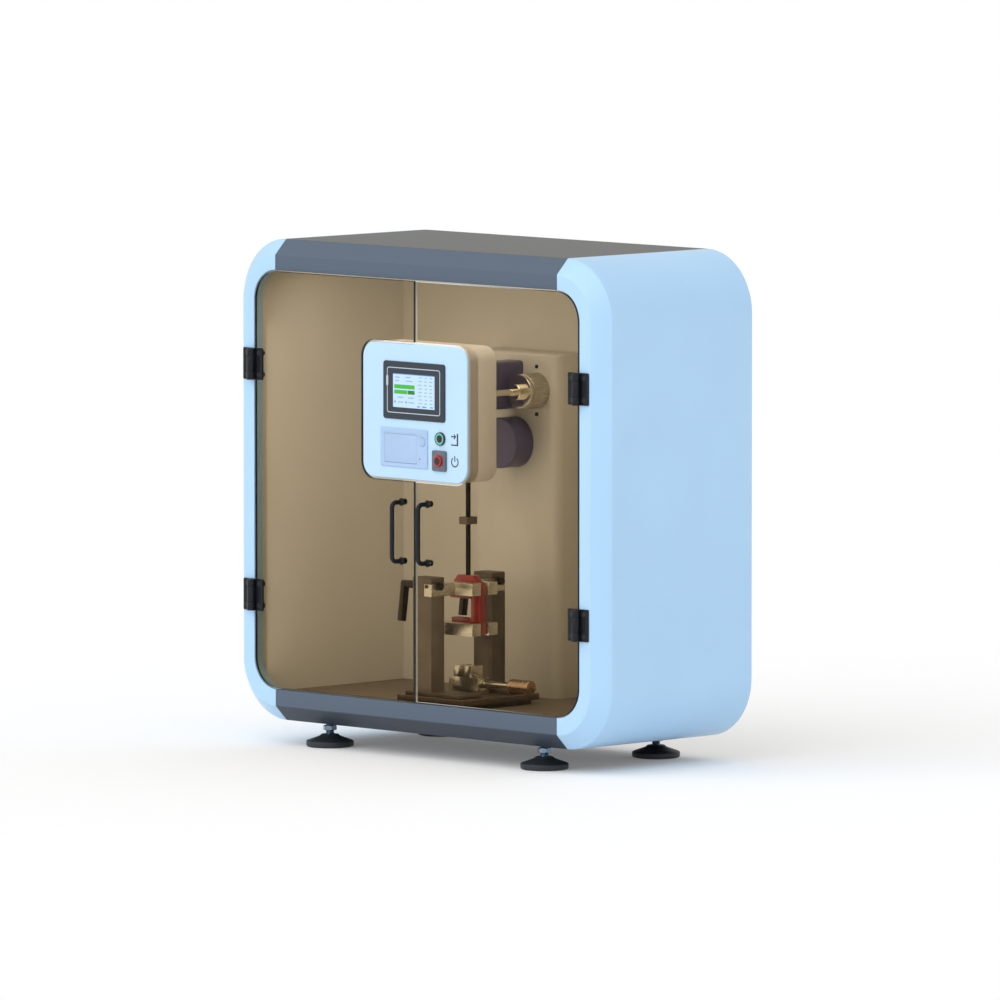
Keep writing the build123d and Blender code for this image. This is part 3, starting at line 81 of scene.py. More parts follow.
class SurroundSettings(bpy.types.PropertyGroup):
    """Sizes and colours of the cabinet's surround."""
    side_paint: colour("Side paint", "Paint of the two side shells", (0.455, 0.715, 0.99))
    band_paint: colour("Band paint", "Paint of the top and bottom bands", (0.080, 0.115, 0.165))
    # Tone of the bands where they face up: partly a lid of its own grey, partly the painted colour of the
    # white overhead light.
    lid_paint_and_overhead_light: colour("Lid paint", "Paint of the bands where they face up", (0.084, 0.082, 0.078))
    # Tone of the bands where they face down: a darker paint that is painted shade.
    painted_under_shade: colour("Under paint", "Paint of the bands where they face down", (0.026, 0.039, 0.062))
    corner: length("Corner radius", "Radius of the cabinet's four corners", 0.100)
    chamfer: length("Chamfer", "Width of the chamfer round the front", 0.025)
    skin: length("Skin", "Thickness of the shells", 0.003)
    frame_depth: length("Frame depth", "Depth of the frame round the doors", 0.020)
    surround: length("Surround", "Width of the surround beside and above the doors", 0.050)
    sill: length("Sill", "Height of the surround below the doors", 0.053)
    opening_corner: length("Opening radius", "Radius of the door opening's corners", 0.050)
    edge: length("Edge rounding", "Rounding of the surround's outer edges", 0.003)


class ChamberSettings(bpy.types.PropertyGroup):
    """Finishes of the test chamber."""
    wall_paint: colour("Wall paint", "Paint of the chamber's walls and the tower", (0.78, 0.76, 0.72))
    floor_paint: colour("Floor paint", "Textured paint of the chamber's floor", (0.23, 0.19, 0.155))
    drive_paint: colour("Drive paint", "Paint of the arm and the motor", (0.125, 0.115, 0.25))


class DoorSettings(bpy.types.PropertyGroup):
    """Finishes and sizes of the doors."""
    tint: colour("Glass tint", "What one face of a pane lets through", (0.745, 0.692, 0.592))
    # The right pane's cut edge at the doors' seam: a pale tone for the light seen in that edge, a painted
    # highlight.
    seam_edge_highlight: colour("Pale edge", "Cut edge of the right pane at the doors' seam", (0.85, 0.92, 0.97))
    dark_edge: colour("Dark edge", "The panes' other cut edges", (0.010, 0.011, 0.012))
    fittings: colour("Fittings", "Paint of the hinges and handles", (0.008, 0.010, 0.014))
    handle_bar: length("Handle bar", "Diameter of the handle's bar", 0.0076)
    handle_bend: length("Handle bend", "Radius of the handle's two bends", 0.009)


class ConsoleSettings(bpy.types.PropertyGroup):
    """Finishes of the control box."""
    plate_paint: colour("Plate", "Paint of the control box's plate", (0.53, 0.76, 0.98))
    body_paint: colour("Body", "Paint of the control box's body", (0.74, 0.71, 0.70))
    bezel: colour("Bezel", "Plastic of the display's bezel", (0.020, 0.030, 0.046))
    line: colour("Line", "Light line round the display", (0.52, 0.60, 0.70))
    page: colour("Page", "Colour of the display's page", (0.50, 0.68, 0.90))
    bar_green: colour("Bar green", "Bars on the display", (0.045, 0.42, 0.025))
    stroke_blue: colour("Stroke blue", "Short strokes on the display", (0.28, 0.42, 0.60))
    mark_blue: colour("Mark blue", "Small marks on the display", (0.10, 0.24, 0.52))
    mint: colour("Mint", "Ring of the push button", (0.17, 0.56, 0.46))
    red: colour("Red", "Cap of the power switch", (0.50, 0.012, 0.012))
    ink: colour("Ink", "Signs of the two buttons", (0.022, 0.032, 0.045))
    printer: colour("Printer", "Plastic of the printer", (0.41, 0.58, 0.84))


class MechanismSettings(bpy.types.PropertyGroup):
    """Finishes of the pendulum, the test frame and the vise."""
    hammer_paint: colour("Hammer", "Paint of the hammer", (0.34, 0.022, 0.018))
    steel: colour("Steel", "Bright steel", (0.74, 0.70, 0.60))
    dark_steel: colour("Dark steel", "Blackened steel of the columns", (0.145, 0.112, 0.086))
    knob_steel: colour("Knob steel", "Steel of the vise's knob", (0.52, 0.36, 0.25))
    knurls: IntProperty(name="Knurls", description="Knurls round the vise's knob", default=36, min=8, max=80)


class FootSettings(bpy.types.PropertyGroup):
    """Finishes and sizes of the levelling feet."""
    rubber: colour("Pad", "Moulded pad of a foot", (0.016, 0.021, 0.029))
    pad: length("Pad diameter", "Diameter of a foot's pad", 0.078)
    stud: length("Stud diameter", "Diameter of a foot's stud", 0.014)


class StageSettings(bpy.types.PropertyGroup):
    """Floor, lamps and camera."""
    floor_tone: FloatProperty(name="Floor", description="Brightness of the floor", default=0.89, min=0, max=1)
    glow: FloatProperty(
        name="Glow", description="Light that the floor shows by itself", default=0.13, min=0, max=1,
    )
    ambient: FloatProperty(name="Ambient", description="Light from all round", default=0.72, min=0, max=2)
    key: FloatProperty(name="Key lamp", description="Strength of the key lamp", default=1.20, min=0, max=5)


# Shapes

def grid_faces(rows, columns, close_rows, close_columns, start):
    """Corner numbers of the quads between neighbouring points of a grid."""
    r = np.arange(rows if close_rows else rows - 1)
    c = np.arange(columns if close_columns else columns - 1)
    r, c = np.meshgrid(r, c, indexing="ij")
    r2, c2 = (r + 1) % rows, (c + 1) % columns
    quads = np.stack([r * columns + c, r2 * columns + c, r2 * columns + c2, r * columns + c2], axis=-1)
    return quads.reshape(-1, 4) + start


def solid_piece(name, grids, sharp=32):
    """One mesh from several grids of points.

    Each grid is (points, close_rows, close_columns, cap), points being rows by columns by 3. The
    surface joins neighbouring points with quads, and a cap closes the first and the last row. A grid
    whose signed volume, the sum of each face's centre times its area vector, is negative is turned.
    """
    points, faces, start = [], [], 0
    for p, close_rows, close_columns, cap in grids:
        p = np.asarray(p, dtype=float)
        rows, columns = p.shape[:2]
        quads = grid_faces(rows, columns, close_rows, close_columns, 0)
        flat = p.reshape(-1, 3)
        corner = flat[quads]
        area = np.cross(corner[:, 2] - corner[:, 0], corner[:, 3] - corner[:, 1])
        middle = flat.mean(axis=0)
        inward = ((corner.mean(axis=1) - middle) * area).sum() < 0
        polygons = [list(q) for q in (quads[:, ::-1] if inward else quads) + start]
        if cap:
            first = list(range(start, start + columns))
            last = list(range(start + (rows - 1) * columns, start + rows * columns))
            polygons += [first if not inward else first[::-1], last[::-1] if not inward else last]
        points.append(flat)
        faces += polygons
        start += len(flat)
    mesh = bpy.data.meshes.new(name)
    mesh.from_pydata(np.concatenate(points).tolist(), [], faces)
    mesh.polygons.foreach_set("use_smooth", np.ones(len(mesh.polygons), dtype=bool))
    mesh.set_sharp_from_angle(angle=radians(sharp))
    mesh.update()
    piece = bpy.data.objects.new(name, mesh)
    bpy.context.scene.collection.objects.link(piece)
    return piece


def capped(points):
    """Grid for solid_piece whose rows are closed rings, with a cap at both ends."""
    return points, False, True, True


def looped(points):
    """Grid for solid_piece that closes both ways."""
    return points, True, True, False


def between(low, high):
    """The point halfway between two corners."""
    return [(a + b) / 2 for a, b in zip(low, high)]


def rounded_loop(left, right, bottom, top, radius, parts):
    """Points (x, z) round a rectangle with rounded corners, starting at the lower left corner's end.

    parts names the stretches: 0 the lower right corner, 1 the right side, 2 the upper right corner,
    3 the top, 4 the upper left corner, 5 the left side, 6 the lower left corner, 7 the bottom. A corner
    is its centre plus radius times (cos, sin) of an angle that runs over a quarter turn.
    """
    x0, x1, z0, z1 = left + radius, right - radius, bottom + radius, top - radius
    corners = {0: (x1, z0, -90), 2: (x1, z1, 0), 4: (x0, z1, 90), 6: (x0, z0, 180)}
    sides = {
        1: ((right, z0), (right, z1)), 3: ((x1, top), (x0, top)),
        5: ((left, z1), (left, z0)), 7: ((x0, bottom), (x1, bottom)),
    }
    runs = []
    for part in parts:
        if part in corners:
            x, z, first = corners[part]
            angle = np.radians(first + np.linspace(0, 90, 25))
            runs.append(np.stack([x + radius * np.cos(angle), z + radius * np.sin(angle)], axis=-1))
        else:
            run = np.linspace(*sides[part], 9)
            runs.append(run if part in (3, 7) else run[1:-1])
    return np.concatenate(runs)


def ring_stretch(stations, parts):
    """Grid of points: each station is (y, left, right, bottom, top, radius), a rounded loop at depth y."""
    rows = []
    for y, *loop in stations:
        flat = rounded_loop(*loop, parts)
        rows.append(np.stack([flat[:, 0], np.full(len(flat), y), flat[:, 1]], axis=-1))
    return np.swapaxes(np.array(rows), 0, 1)


def turned(profile, centre, axis, around=64):
    """Surface of revolution: the point (distance, radius) of the profile at angle a stands at centre
    plus distance along the axis plus radius times (cos a, sin a) across it."""
    profile = np.asarray(profile, dtype=float)
    angle = np.linspace(0, CIRCLE, around, endpoint=False)
    along = np.asarray(axis, dtype=float)
    side = np.array([1.0, 0, 0]) if abs(along[0]) < 0.5 else np.array([0, 1.0, 0])
    other = np.cross(along, side)
    ring = np.cos(angle)[:, None] * side + np.sin(angle)[:, None] * other
    return (np.asarray(centre) + profile[:, 0, None, None] * along + profile[:, 1, None, None] * ring[None])


def revolved(along, radius, angle, centre, shift=0):
    """Surface about X, or about Z with a shift of -1, whose radius has a row for each distance along
    the axis and may have a column for each angle: (distance, radius times cos, radius times sin)."""
    radius = np.broadcast_to(radius, (len(along), len(angle)))
    steps = np.broadcast_to(along[:, None], radius.shape)
    grid = np.stack([steps, radius * np.cos(angle), radius * np.sin(angle)], axis=-1)
    return np.roll(grid, shift, axis=-1) + centre


def eased(profile, radius, steps=5):
    """Profile with each inner corner replaced by an arc-like curve: a quadratic curve from radius before
    the corner, through it as control point, to radius after it."""
    profile = [np.asarray(p, dtype=float) for p in profile]
    out = [profile[0]]
    for before, corner, after in zip(profile, profile[1:], profile[2:]):
        reach = min(radius, np.linalg.norm(corner - before) * 0.45, np.linalg.norm(after - corner) * 0.45)
        start = corner + (before - corner) / np.linalg.norm(before - corner) * reach
        end = corner + (after - corner) / np.linalg.norm(after - corner) * reach
        t = np.linspace(0, 1, steps)[:, None]
        out += list((1 - t) ** 2 * start + 2 * t * (1 - t) * corner + t ** 2 * end)
    return np.array(out + [profile[-1]])


def bent_bar(path, radius, around=20):
    """Round bar along a path of points: each ring is radius times (cos a, sin a) in the two directions
    square to the path's run, the first of them kept square to X."""
    path = np.asarray(path, dtype=float)
    run = np.gradient(path, axis=0)
    run /= np.linalg.norm(run, axis=1)[:, None]
    side = np.tile([1.0, 0, 0], (len(path), 1))
    other = np.cross(run, side)
    angle = np.linspace(0, CIRCLE, around, endpoint=False)
    ring = np.cos(angle)[None, :, None] * side[:, None] + np.sin(angle)[None, :, None] * other[:, None]
    return path[:, None] + radius * ring


def flat_plate(x0, x1, z0, z1, y, depth, radius):
    """Thin plate facing the front with rounded corners: the outline at its back, at its front and drawn
    in by a third of its depth for a soft rim."""
    rim = depth / 3
    loops = [(y + depth, 0), (y + rim, 0), (y, rim)]
    stations = [(d, x0 + i, x1 - i, z0 + i, z1 - i, max(radius - i, 1e-5)) for d, i in loops]
    return np.swapaxes(ring_stretch(stations, range(8)), 0, 1)


# Finishes

class Tree:
    """Node tree of a material or of the world."""

    def __init__(self, owner):
        owner.use_nodes = True
        self.nodes, self.links = owner.node_tree.nodes, owner.node_tree.links

    def feed(self, node, inputs):
        """Gives a node's inputs, by name or number, a socket to follow or a value to hold."""
        for key, value in inputs.items():
            if isinstance(value, bpy.types.NodeSocket):
                self.links.new(value, node.inputs[key])
            else:
                node.inputs[key].default_value = value

    def add(self, kind, inputs, **settings):
        """Adds a node and returns its outputs."""
        node = self.nodes.new("ShaderNode" + kind)
        for key, value in settings.items():
            setattr(node, key, value)
        self.feed(node, inputs)
        return node.outputs

    def math(self, operation, *values):
        """Works out one number from others, each a socket or a number."""
        return self.add("Math", dict(enumerate(values)), operation=operation)[0]


class Finish(Tree):
    """One procedural material: a Principled shader whose colour, roughness and relief come from noise."""

    def __init__(self, name):
        self.material = bpy.data.materials.new(name)
        super().__init__(self.material)
        self.shader = self.nodes["Principled BSDF"]
        self.place = self.add("TexCoord", {})

    def shade(self, inputs):
        """Feeds the Principled shader and returns the material."""
        self.feed(self.shader, inputs)
        return self.material

    def surface(self, shader):
        """Puts another shader on the surface and returns the material."""
        self.feed(self.nodes["Material Output"], {"Surface": shader})
        return self.material

    def noise(self, scale, detail=3.0, stretch=(1, 1, 1)):
        """Noise over the object's own coordinates, drawn out along an axis by a small factor there."""
        mapping = self.add("Mapping", {"Vector": self.place["Object"], "Scale": stretch})
        inputs = {"Vector": mapping["Vector"], "Scale": scale, "Detail": detail}
        return self.add("TexNoise", inputs)["Fac"]

    def parts(self, name):
        """X, Y and Z of the object's own coordinates or normal."""
        return self.add("SeparateXYZ", {"Vector": self.place[name]})

    def ramp(self, value, *stops):
        """Colour that runs through the stops, each a position and a tone, as the value rises."""
        node = self.nodes.new("ShaderNodeValToRGB")
        ends = node.color_ramp.elements
        for end, (position, tone) in ((ends[0], stops[0]), (ends[1], stops[-1])):
            end.position, end.color = position, (*tone, 1)
        for position, tone in stops[1:-1]:
            ends.new(position).color = (*tone, 1)
        self.feed(node, {"Fac": value})
        return node.outputs["Color"]

    def varied(self, value, tone, share, low=0.35, high=0.65):
        """The tone, darker by a share where the value is low and lighter where it is high."""
        return self.ramp(value, (low, scaled(tone, 1 - share)), (high, scaled(tone, 1 + share)))

    def grain(self, value, smooth, rough, strength, depth):
        """Roughness between two limits and a bump of a given depth in metres, both from one noise."""
        limits = {"From Min": 0.3, "From Max": 0.7, "To Min": smooth, "To Max": rough}
        spread = self.add("MapRange", {"Value": value, **limits})
        bump = self.add("Bump", {"Height": value, "Strength": strength, "Distance": depth})
        self.shade({"Roughness": spread["Result"], "Normal": bump["Normal"]})


def scaled(tone, factor):
    """A colour made lighter or darker."""
    return tuple(min(1.0, max(0.0, c * factor)) for c in tone)


def sprayed_paint(
    name, tone, roughness=0.38, grain=900.0, depth=0.00004, drift=0.015, coat=0.0, specular=0.5,
):
    """Sprayed paint: a faint drift of tone, and the fine orange peel of a sprayed coat."""
    finish = Finish(name)
    broad, fine = finish.noise(6.0, 2.0), finish.noise(grain, 2.0)
    finish.grain(fine, roughness - 0.05, roughness + 0.06, 0.35, depth)
    coats = {"Coat Weight": coat, "Coat Roughness": 0.15, "Specular IOR Level": specular}
    return finish.shade({"Base Color": finish.varied(broad, tone, drift), **coats})


def band_paint(name, under, front, level):
    """Paint of the bands, toned by the way they face: darker where they face down, which is painted shade;
    their own tone where they face forward; and greyer facing up, partly a lid of its own grey and partly the
    painted colour of the white light from overhead.
    """
    finish = Finish(name)
    rise = finish.math("MULTIPLY_ADD", finish.parts("Normal")["Z"], 0.5, 0.5)
    finish.grain(finish.noise(900.0, 2.0), 0.40, 0.50, 0.35, 0.00004)
    # From painted shade facing down, through the front tone, to the lid tone with its painted overhead light
    # facing up.
    tones = finish.ramp(rise, (0.15, under), (0.46, front), (0.90, front), (0.99, level))
    return finish.shade({"Base Color": tones})


def moulded_plastic(name, tone, roughness=0.42, grain=1600.0, depth=0.00003, speckle=0.055):
    """Moulded plastic with a fine spark-eroded grain."""
    finish = Finish(name)
    fine = finish.noise(grain)
    finish.grain(fine, roughness - 0.05, roughness + 0.06, 0.4, depth)
    return finish.shade({"Base Color": finish.varied(fine, tone, speckle)})


def machined_steel(
    name, tone, roughness=0.22, stretch=(1, 1, 1), grain=500.0, metallic=1.0, depth=0.00003,
    strength=0.3, spark=0.0,
):
    """Machined steel: fine marks drawn out along an axis. Its tone follows patches of duller oxide or,
    with a spark, the marks themselves."""
    finish = Finish(name)
    marks = finish.noise(grain, stretch=stretch)
    if spark:
        base = finish.varied(marks, tone, spark, 0.45, 0.60)
    else:
        base = finish.ramp(finish.noise(35.0), (0.35, scaled(tone, 0.82)), (0.65, scaled(tone, 1.08)))
    finish.grain(marks, max(roughness - 0.08, 0.04), roughness + 0.10, strength, depth)
    return finish.shade({"Base Color": base, "Metallic": metallic})


def glass_pane(name, tint, left_edge, right_edge):
    """Tinted sheet glass: it lets light through by its tint and mirrors more at a slant. Its cut edges, where
    the piece's own normal doesn't point forward or back, are dull, with one tone at each end; a pale end tone
    is a painted highlight."""
    finish = Finish(name)
    clear = finish.add("BsdfTransparent", {"Color": (*tint, 1)})
    gloss = finish.add("BsdfGlossy", {"Color": (0.9, 0.93, 0.95, 1), "Roughness": 0.03})
    slant = finish.math("POWER", finish.add("LayerWeight", {})["Facing"], 4.0)
    share = finish.math("MULTIPLY", slant, 0.3)
    sheet = finish.add("MixShader", {0: share, 1: clear["BSDF"], 2: gloss["BSDF"]})
    ends = finish.ramp(finish.parts("Object")["X"], (0.1, left_edge), (0.3, right_edge))
    finish.shade({"Base Color": ends, "Roughness": 0.35})
    cut = finish.math("LESS_THAN", finish.math("ABSOLUTE", finish.parts("Normal")["Y"]), 0.9)
    both = finish.add("MixShader", {0: cut, 1: sheet["Shader"], 2: finish.shader.outputs["BSDF"]})
    return finish.surface(both["Shader"])


def lit_page(name, tone, glow=0.15):
    """Lit face of a display: its tone, with a little light of its own and a faint row structure."""
    finish = Finish(name)
    rows = finish.noise(2500.0, 1.0, (1, 1, 0.3))
    light = {"Emission Color": (*tone, 1), "Emission Strength": glow}
    return finish.shade({"Base Color": finish.varied(rows, tone, 0.02), "Roughness": 0.2, **light})


def dress(node, material, round_edges=0.0004, sharp=34):
    """Gives a CAD node its finish. Its triangles are joined, its edges rounded and its curves shaded
    smooth by modifiers, so the node's own mesh stays as it is."""
    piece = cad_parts[node]
    piece.data.materials.clear()
    piece.data.materials.append(material)
    piece.data.polygons.foreach_set("use_smooth", np.ones(len(piece.data.polygons), dtype=bool))
    weld = piece.modifiers.new("Join", "WELD")
    weld.merge_threshold = 0.00002
    if round_edges:
        bevel = piece.modifiers.new("Round edges", "BEVEL")
        bevel.width = round_edges
        bevel.segments = 2
        bevel.limit_method = "ANGLE"
        bevel.angle_limit = radians(sharp)
        bevel.harden_normals = True
    else:
        split = piece.modifiers.new("Sharp edges", "EDGE_SPLIT")
        split.split_angle = radians(sharp)
    return piece


def fit(piece, body, slot, material, *nodes):
    """Puts a finished piece on its body with its material, and hides the nodes it stands for. The slot is not
    used.
    """
    piece.data.materials.append(material)
    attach(piece, body)
    if nodes:
        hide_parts(*nodes)
    return piece


# Operators

class IMPACT_OT_surround(bpy.types.Operator):
    """Surround: side shells and bands as one profile carried round the rounded outline"""
    bl_idname = "impact.surround"
    bl_label = "Surround"

    def execute(self, context):
        s = context.scene.impact_surround
        sides = sprayed_paint("side_shell_paint", s.side_paint, 0.34, coat=0.25)
        # The bands' material paints shade where they face down and the overhead light's colour where they
        # face up.
        bands = band_paint("band_paint", s.painted_under_shade, s.band_paint, s.lid_paint_and_overhead_light)
        for name, parts, material, slot in (
            ("left_shell", (4, 5, 6), sides, "shell_blue"),
            ("right_shell", (0, 1, 2), sides, "shell_blue"),
            ("top_shell", (3,), bands, "band_grey"),
            ("bottom_shell", (7,), bands, "band_grey"),
        ):
            grid = ring_stretch(self.profile(s), parts)
            if name in ("top_shell", "bottom_shell"):
                low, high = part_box(name)
                grid[..., 0] = np.clip(grid[..., 0], low[0], high[0])
            piece = solid_piece(name.replace("shell", "skin"), [capped(grid)])
            fit(piece, "cabinet", slot, material, name)
        return {"FINISHED"}

    @staticmethod
    def profile(s):
        """Closed profile of the skin: out along the side, over the chamfer, across the front to the door
        opening, round into it, and the same way back one skin deeper. Its outer corners are eased."""
        wall, deep = s.skin, s.frame_depth
        fold = s.chamfer + wall / 2
        corners = [
            (BACK - FRONT, 0, "outline"), (s.chamfer, 0, "outline"), (0, s.chamfer, "outline"),
            (0, 0, "opening"), (deep, 0, "opening"),
        ]
        inner = [
            (deep, wall, "opening"), (wall, wall, "opening"), (wall, fold, "outline"),
            (fold, wall, "outline"), (BACK - FRONT, wall, "outline"),
        ]
        def loop(depth, inset, kind):
            if kind == "outline":
                return np.array([
                    FRONT + depth, inset - HALF_WIDTH, HALF_WIDTH - inset, UNDERSIDE + inset, TOP - inset,
                    s.corner - inset,
                ])
            half = HALF_WIDTH - s.surround + inset
            return np.array([
                FRONT + depth, -half, half, UNDERSIDE + s.sill - inset, TOP - s.surround + inset,
                s.opening_corner + inset,
            ])
        outer = eased([loop(*c) for c in corners], s.edge)
        return list(outer) + [loop(*c) for c in inner]


class IMPACT_OT_chamber(bpy.types.Operator):
    """Chamber: its lining, the floor plate, the back panel and the tower"""
    bl_idname = "impact.chamber"
    bl_label = "Chamber"

    def execute(self, context):
        c, s = context.scene.impact_chamber, context.scene.impact_surround
        wall = sprayed_paint("chamber_paint", c.wall_paint, 0.5, grain=1200.0, depth=0.00003)
        half = HALF_WIDTH - s.surround
        bottom, sill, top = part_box("chamber_floor")[0][2], UNDERSIDE + s.sill, TOP - s.surround
        seam, fillet = 0.0005, 0.0015
        def opening(y, grow):
            return y, -half - grow, half + grow, sill - grow, top + grow, s.opening_corner + grow
        def chamber(y, grow):
            return y, -half - grow, half + grow, bottom - grow, top + grow, fillet + grow
        rear = FRONT + s.frame_depth
        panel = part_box("back_panel")[0][1]
        stations = [
            opening(rear, seam), chamber(rear, 0), chamber(panel, 0), chamber(panel, s.skin),
            chamber(rear - s.skin, s.skin), opening(rear - s.skin, seam),
        ]
        lining = solid_piece("chamber_lining", [looped(ring_stretch(stations, range(8)))])
        fit(lining, "cabinet", "chamber_paint", wall)
        dress("tower_cover", wall, 0.0008)
        floor = moulded_plastic("floor_paint", c.floor_paint, 0.6, grain=420.0, depth=0.00025, speckle=0.35)
        dress("chamber_floor", floor, 0)
        panel_paint = sprayed_paint("back_panel_paint", c.wall_paint, 0.45, grain=1000.0, depth=0.00005)
        dress("back_panel", panel_paint, 0)
        dress("power_inlet", moulded_plastic("inlet_plastic", (0.02, 0.02, 0.022)), 0)
        dress("cabinet_screws", sprayed_paint("screw_paint", (0.014, 0.015, 0.018), 0.45), 0)
        return {"FINISHED"}


class IMPACT_OT_drive(bpy.types.Operator):
    """Drive: arm, bearing boss, brake disc, motor and what is inside the tower"""
    bl_idname = "impact.drive"
    bl_label = "Drive"

    def execute(self, context):
        c, m = context.scene.impact_chamber, context.scene.impact_mechanism
        dark = sprayed_paint("drive_paint", c.drive_paint, 0.3, grain=700.0, depth=0.00005, drift=0.08)
        for node in ("console_arm", "lift_motor", "drive_bracket"):
            dress(node, dark, 0.0006)
        boss = machined_steel("boss_steel", scaled(m.steel, 0.8), 0.28, (1, 0.05, 1))
        dress("bearing_housing", boss, 0.0006)
        bright = machined_steel("turned_steel", m.steel, 0.16, (0.05, 1, 0.05))
        for node in ("brake_rotor", "spindle", "driven_pulley", "motor_pulley", "spindle_bearings"):
            dress(node, bright, 0)
        belt = moulded_plastic("belt_rubber", (0.02, 0.02, 0.02), 0.6, grain=600.0, depth=0.0001)
        dress("drive_belt", belt, 0)
        dress("angle_encoder", sprayed_paint("encoder_paint", (0.03, 0.03, 0.033), 0.35), 0)
        return {"FINISHED"}


class IMPACT_OT_doors(bpy.types.Operator):
    """Doors: tinted panes, hinges, screws and bent handles"""
    bl_idname = "impact.doors"
    bl_label = "Doors"

    def execute(self, context):
        d = context.scene.impact_doors
        glass = {
            "left": glass_pane("left_glass", d.tint, d.dark_edge, d.dark_edge),
            # The right pane's seam edge gets the painted highlight tone.
            "right": glass_pane("right_glass", d.tint, d.seam_edge_highlight, d.dark_edge),
        }
        black = sprayed_paint("fittings_paint", d.fittings, 0.3, grain=1100.0, drift=0.1, specular=0.25)
        screws = sprayed_paint("door_screw_paint", (0.012, 0.013, 0.016), 0.45)
        dress("cabinet_leaves", black, 0.0004)
        for side in ("left", "right"):
            dress(f"{side}_door_pane", glass[side], 0)
            dress(f"{side}_door_leaves", black, 0.0004)
            dress(f"{side}_door_screws", screws, 0)
            self.handle(side, d, black)
        return {"FINISHED"}

    @staticmethod
    def handle(side, d, paint):
        """Handle: a round bar along a path of three runs joined by two quarter turns, each turn its
        centre plus the bend's radius times (cos, sin), and a stepped flange turned about each end."""
        low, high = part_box(f"{side}_door_handle")
        x, flange = (low[0] + high[0]) / 2, (high[0] - low[0]) / 2
        bend, bar = d.handle_bend, d.handle_bar / 2
        glass, front = high[1], low[1] + bar
        ends = (low[2] + flange, high[2] - flange)
        turn = np.radians(np.linspace(0, 90, 13))
        lower = np.stack([front + bend - bend * np.sin(turn), ends[0] + bend - bend * np.cos(turn)], axis=-1)
        upper = np.stack([front + bend - bend * np.cos(turn), ends[1] - bend + bend * np.sin(turn)], axis=-1)
        path = np.concatenate([[(glass, ends[0])], lower, upper, [(glass, ends[1])]])
        path = np.stack([np.full(len(path), x), path[:, 0], path[:, 1]], axis=-1)
        disc, neck, top, ease = 0.0018, 0.0026, 0.006, 0.0007
        profile = eased([
            (0, 0.0001), (0, flange), (disc, flange), (neck, bar * 1.35), (top, bar * 1.02),
        ], ease)
        grids = [capped(bent_bar(path, bar))]
        for z in ends:
            grids.append(capped(turned(profile, (x, glass, z), FORWARD, 40)))
        piece = solid_piece(f"{side}_handle_bar", grids)
        fit(piece, f"{side}_door", "black_metal", paint, f"{side}_door_handle")


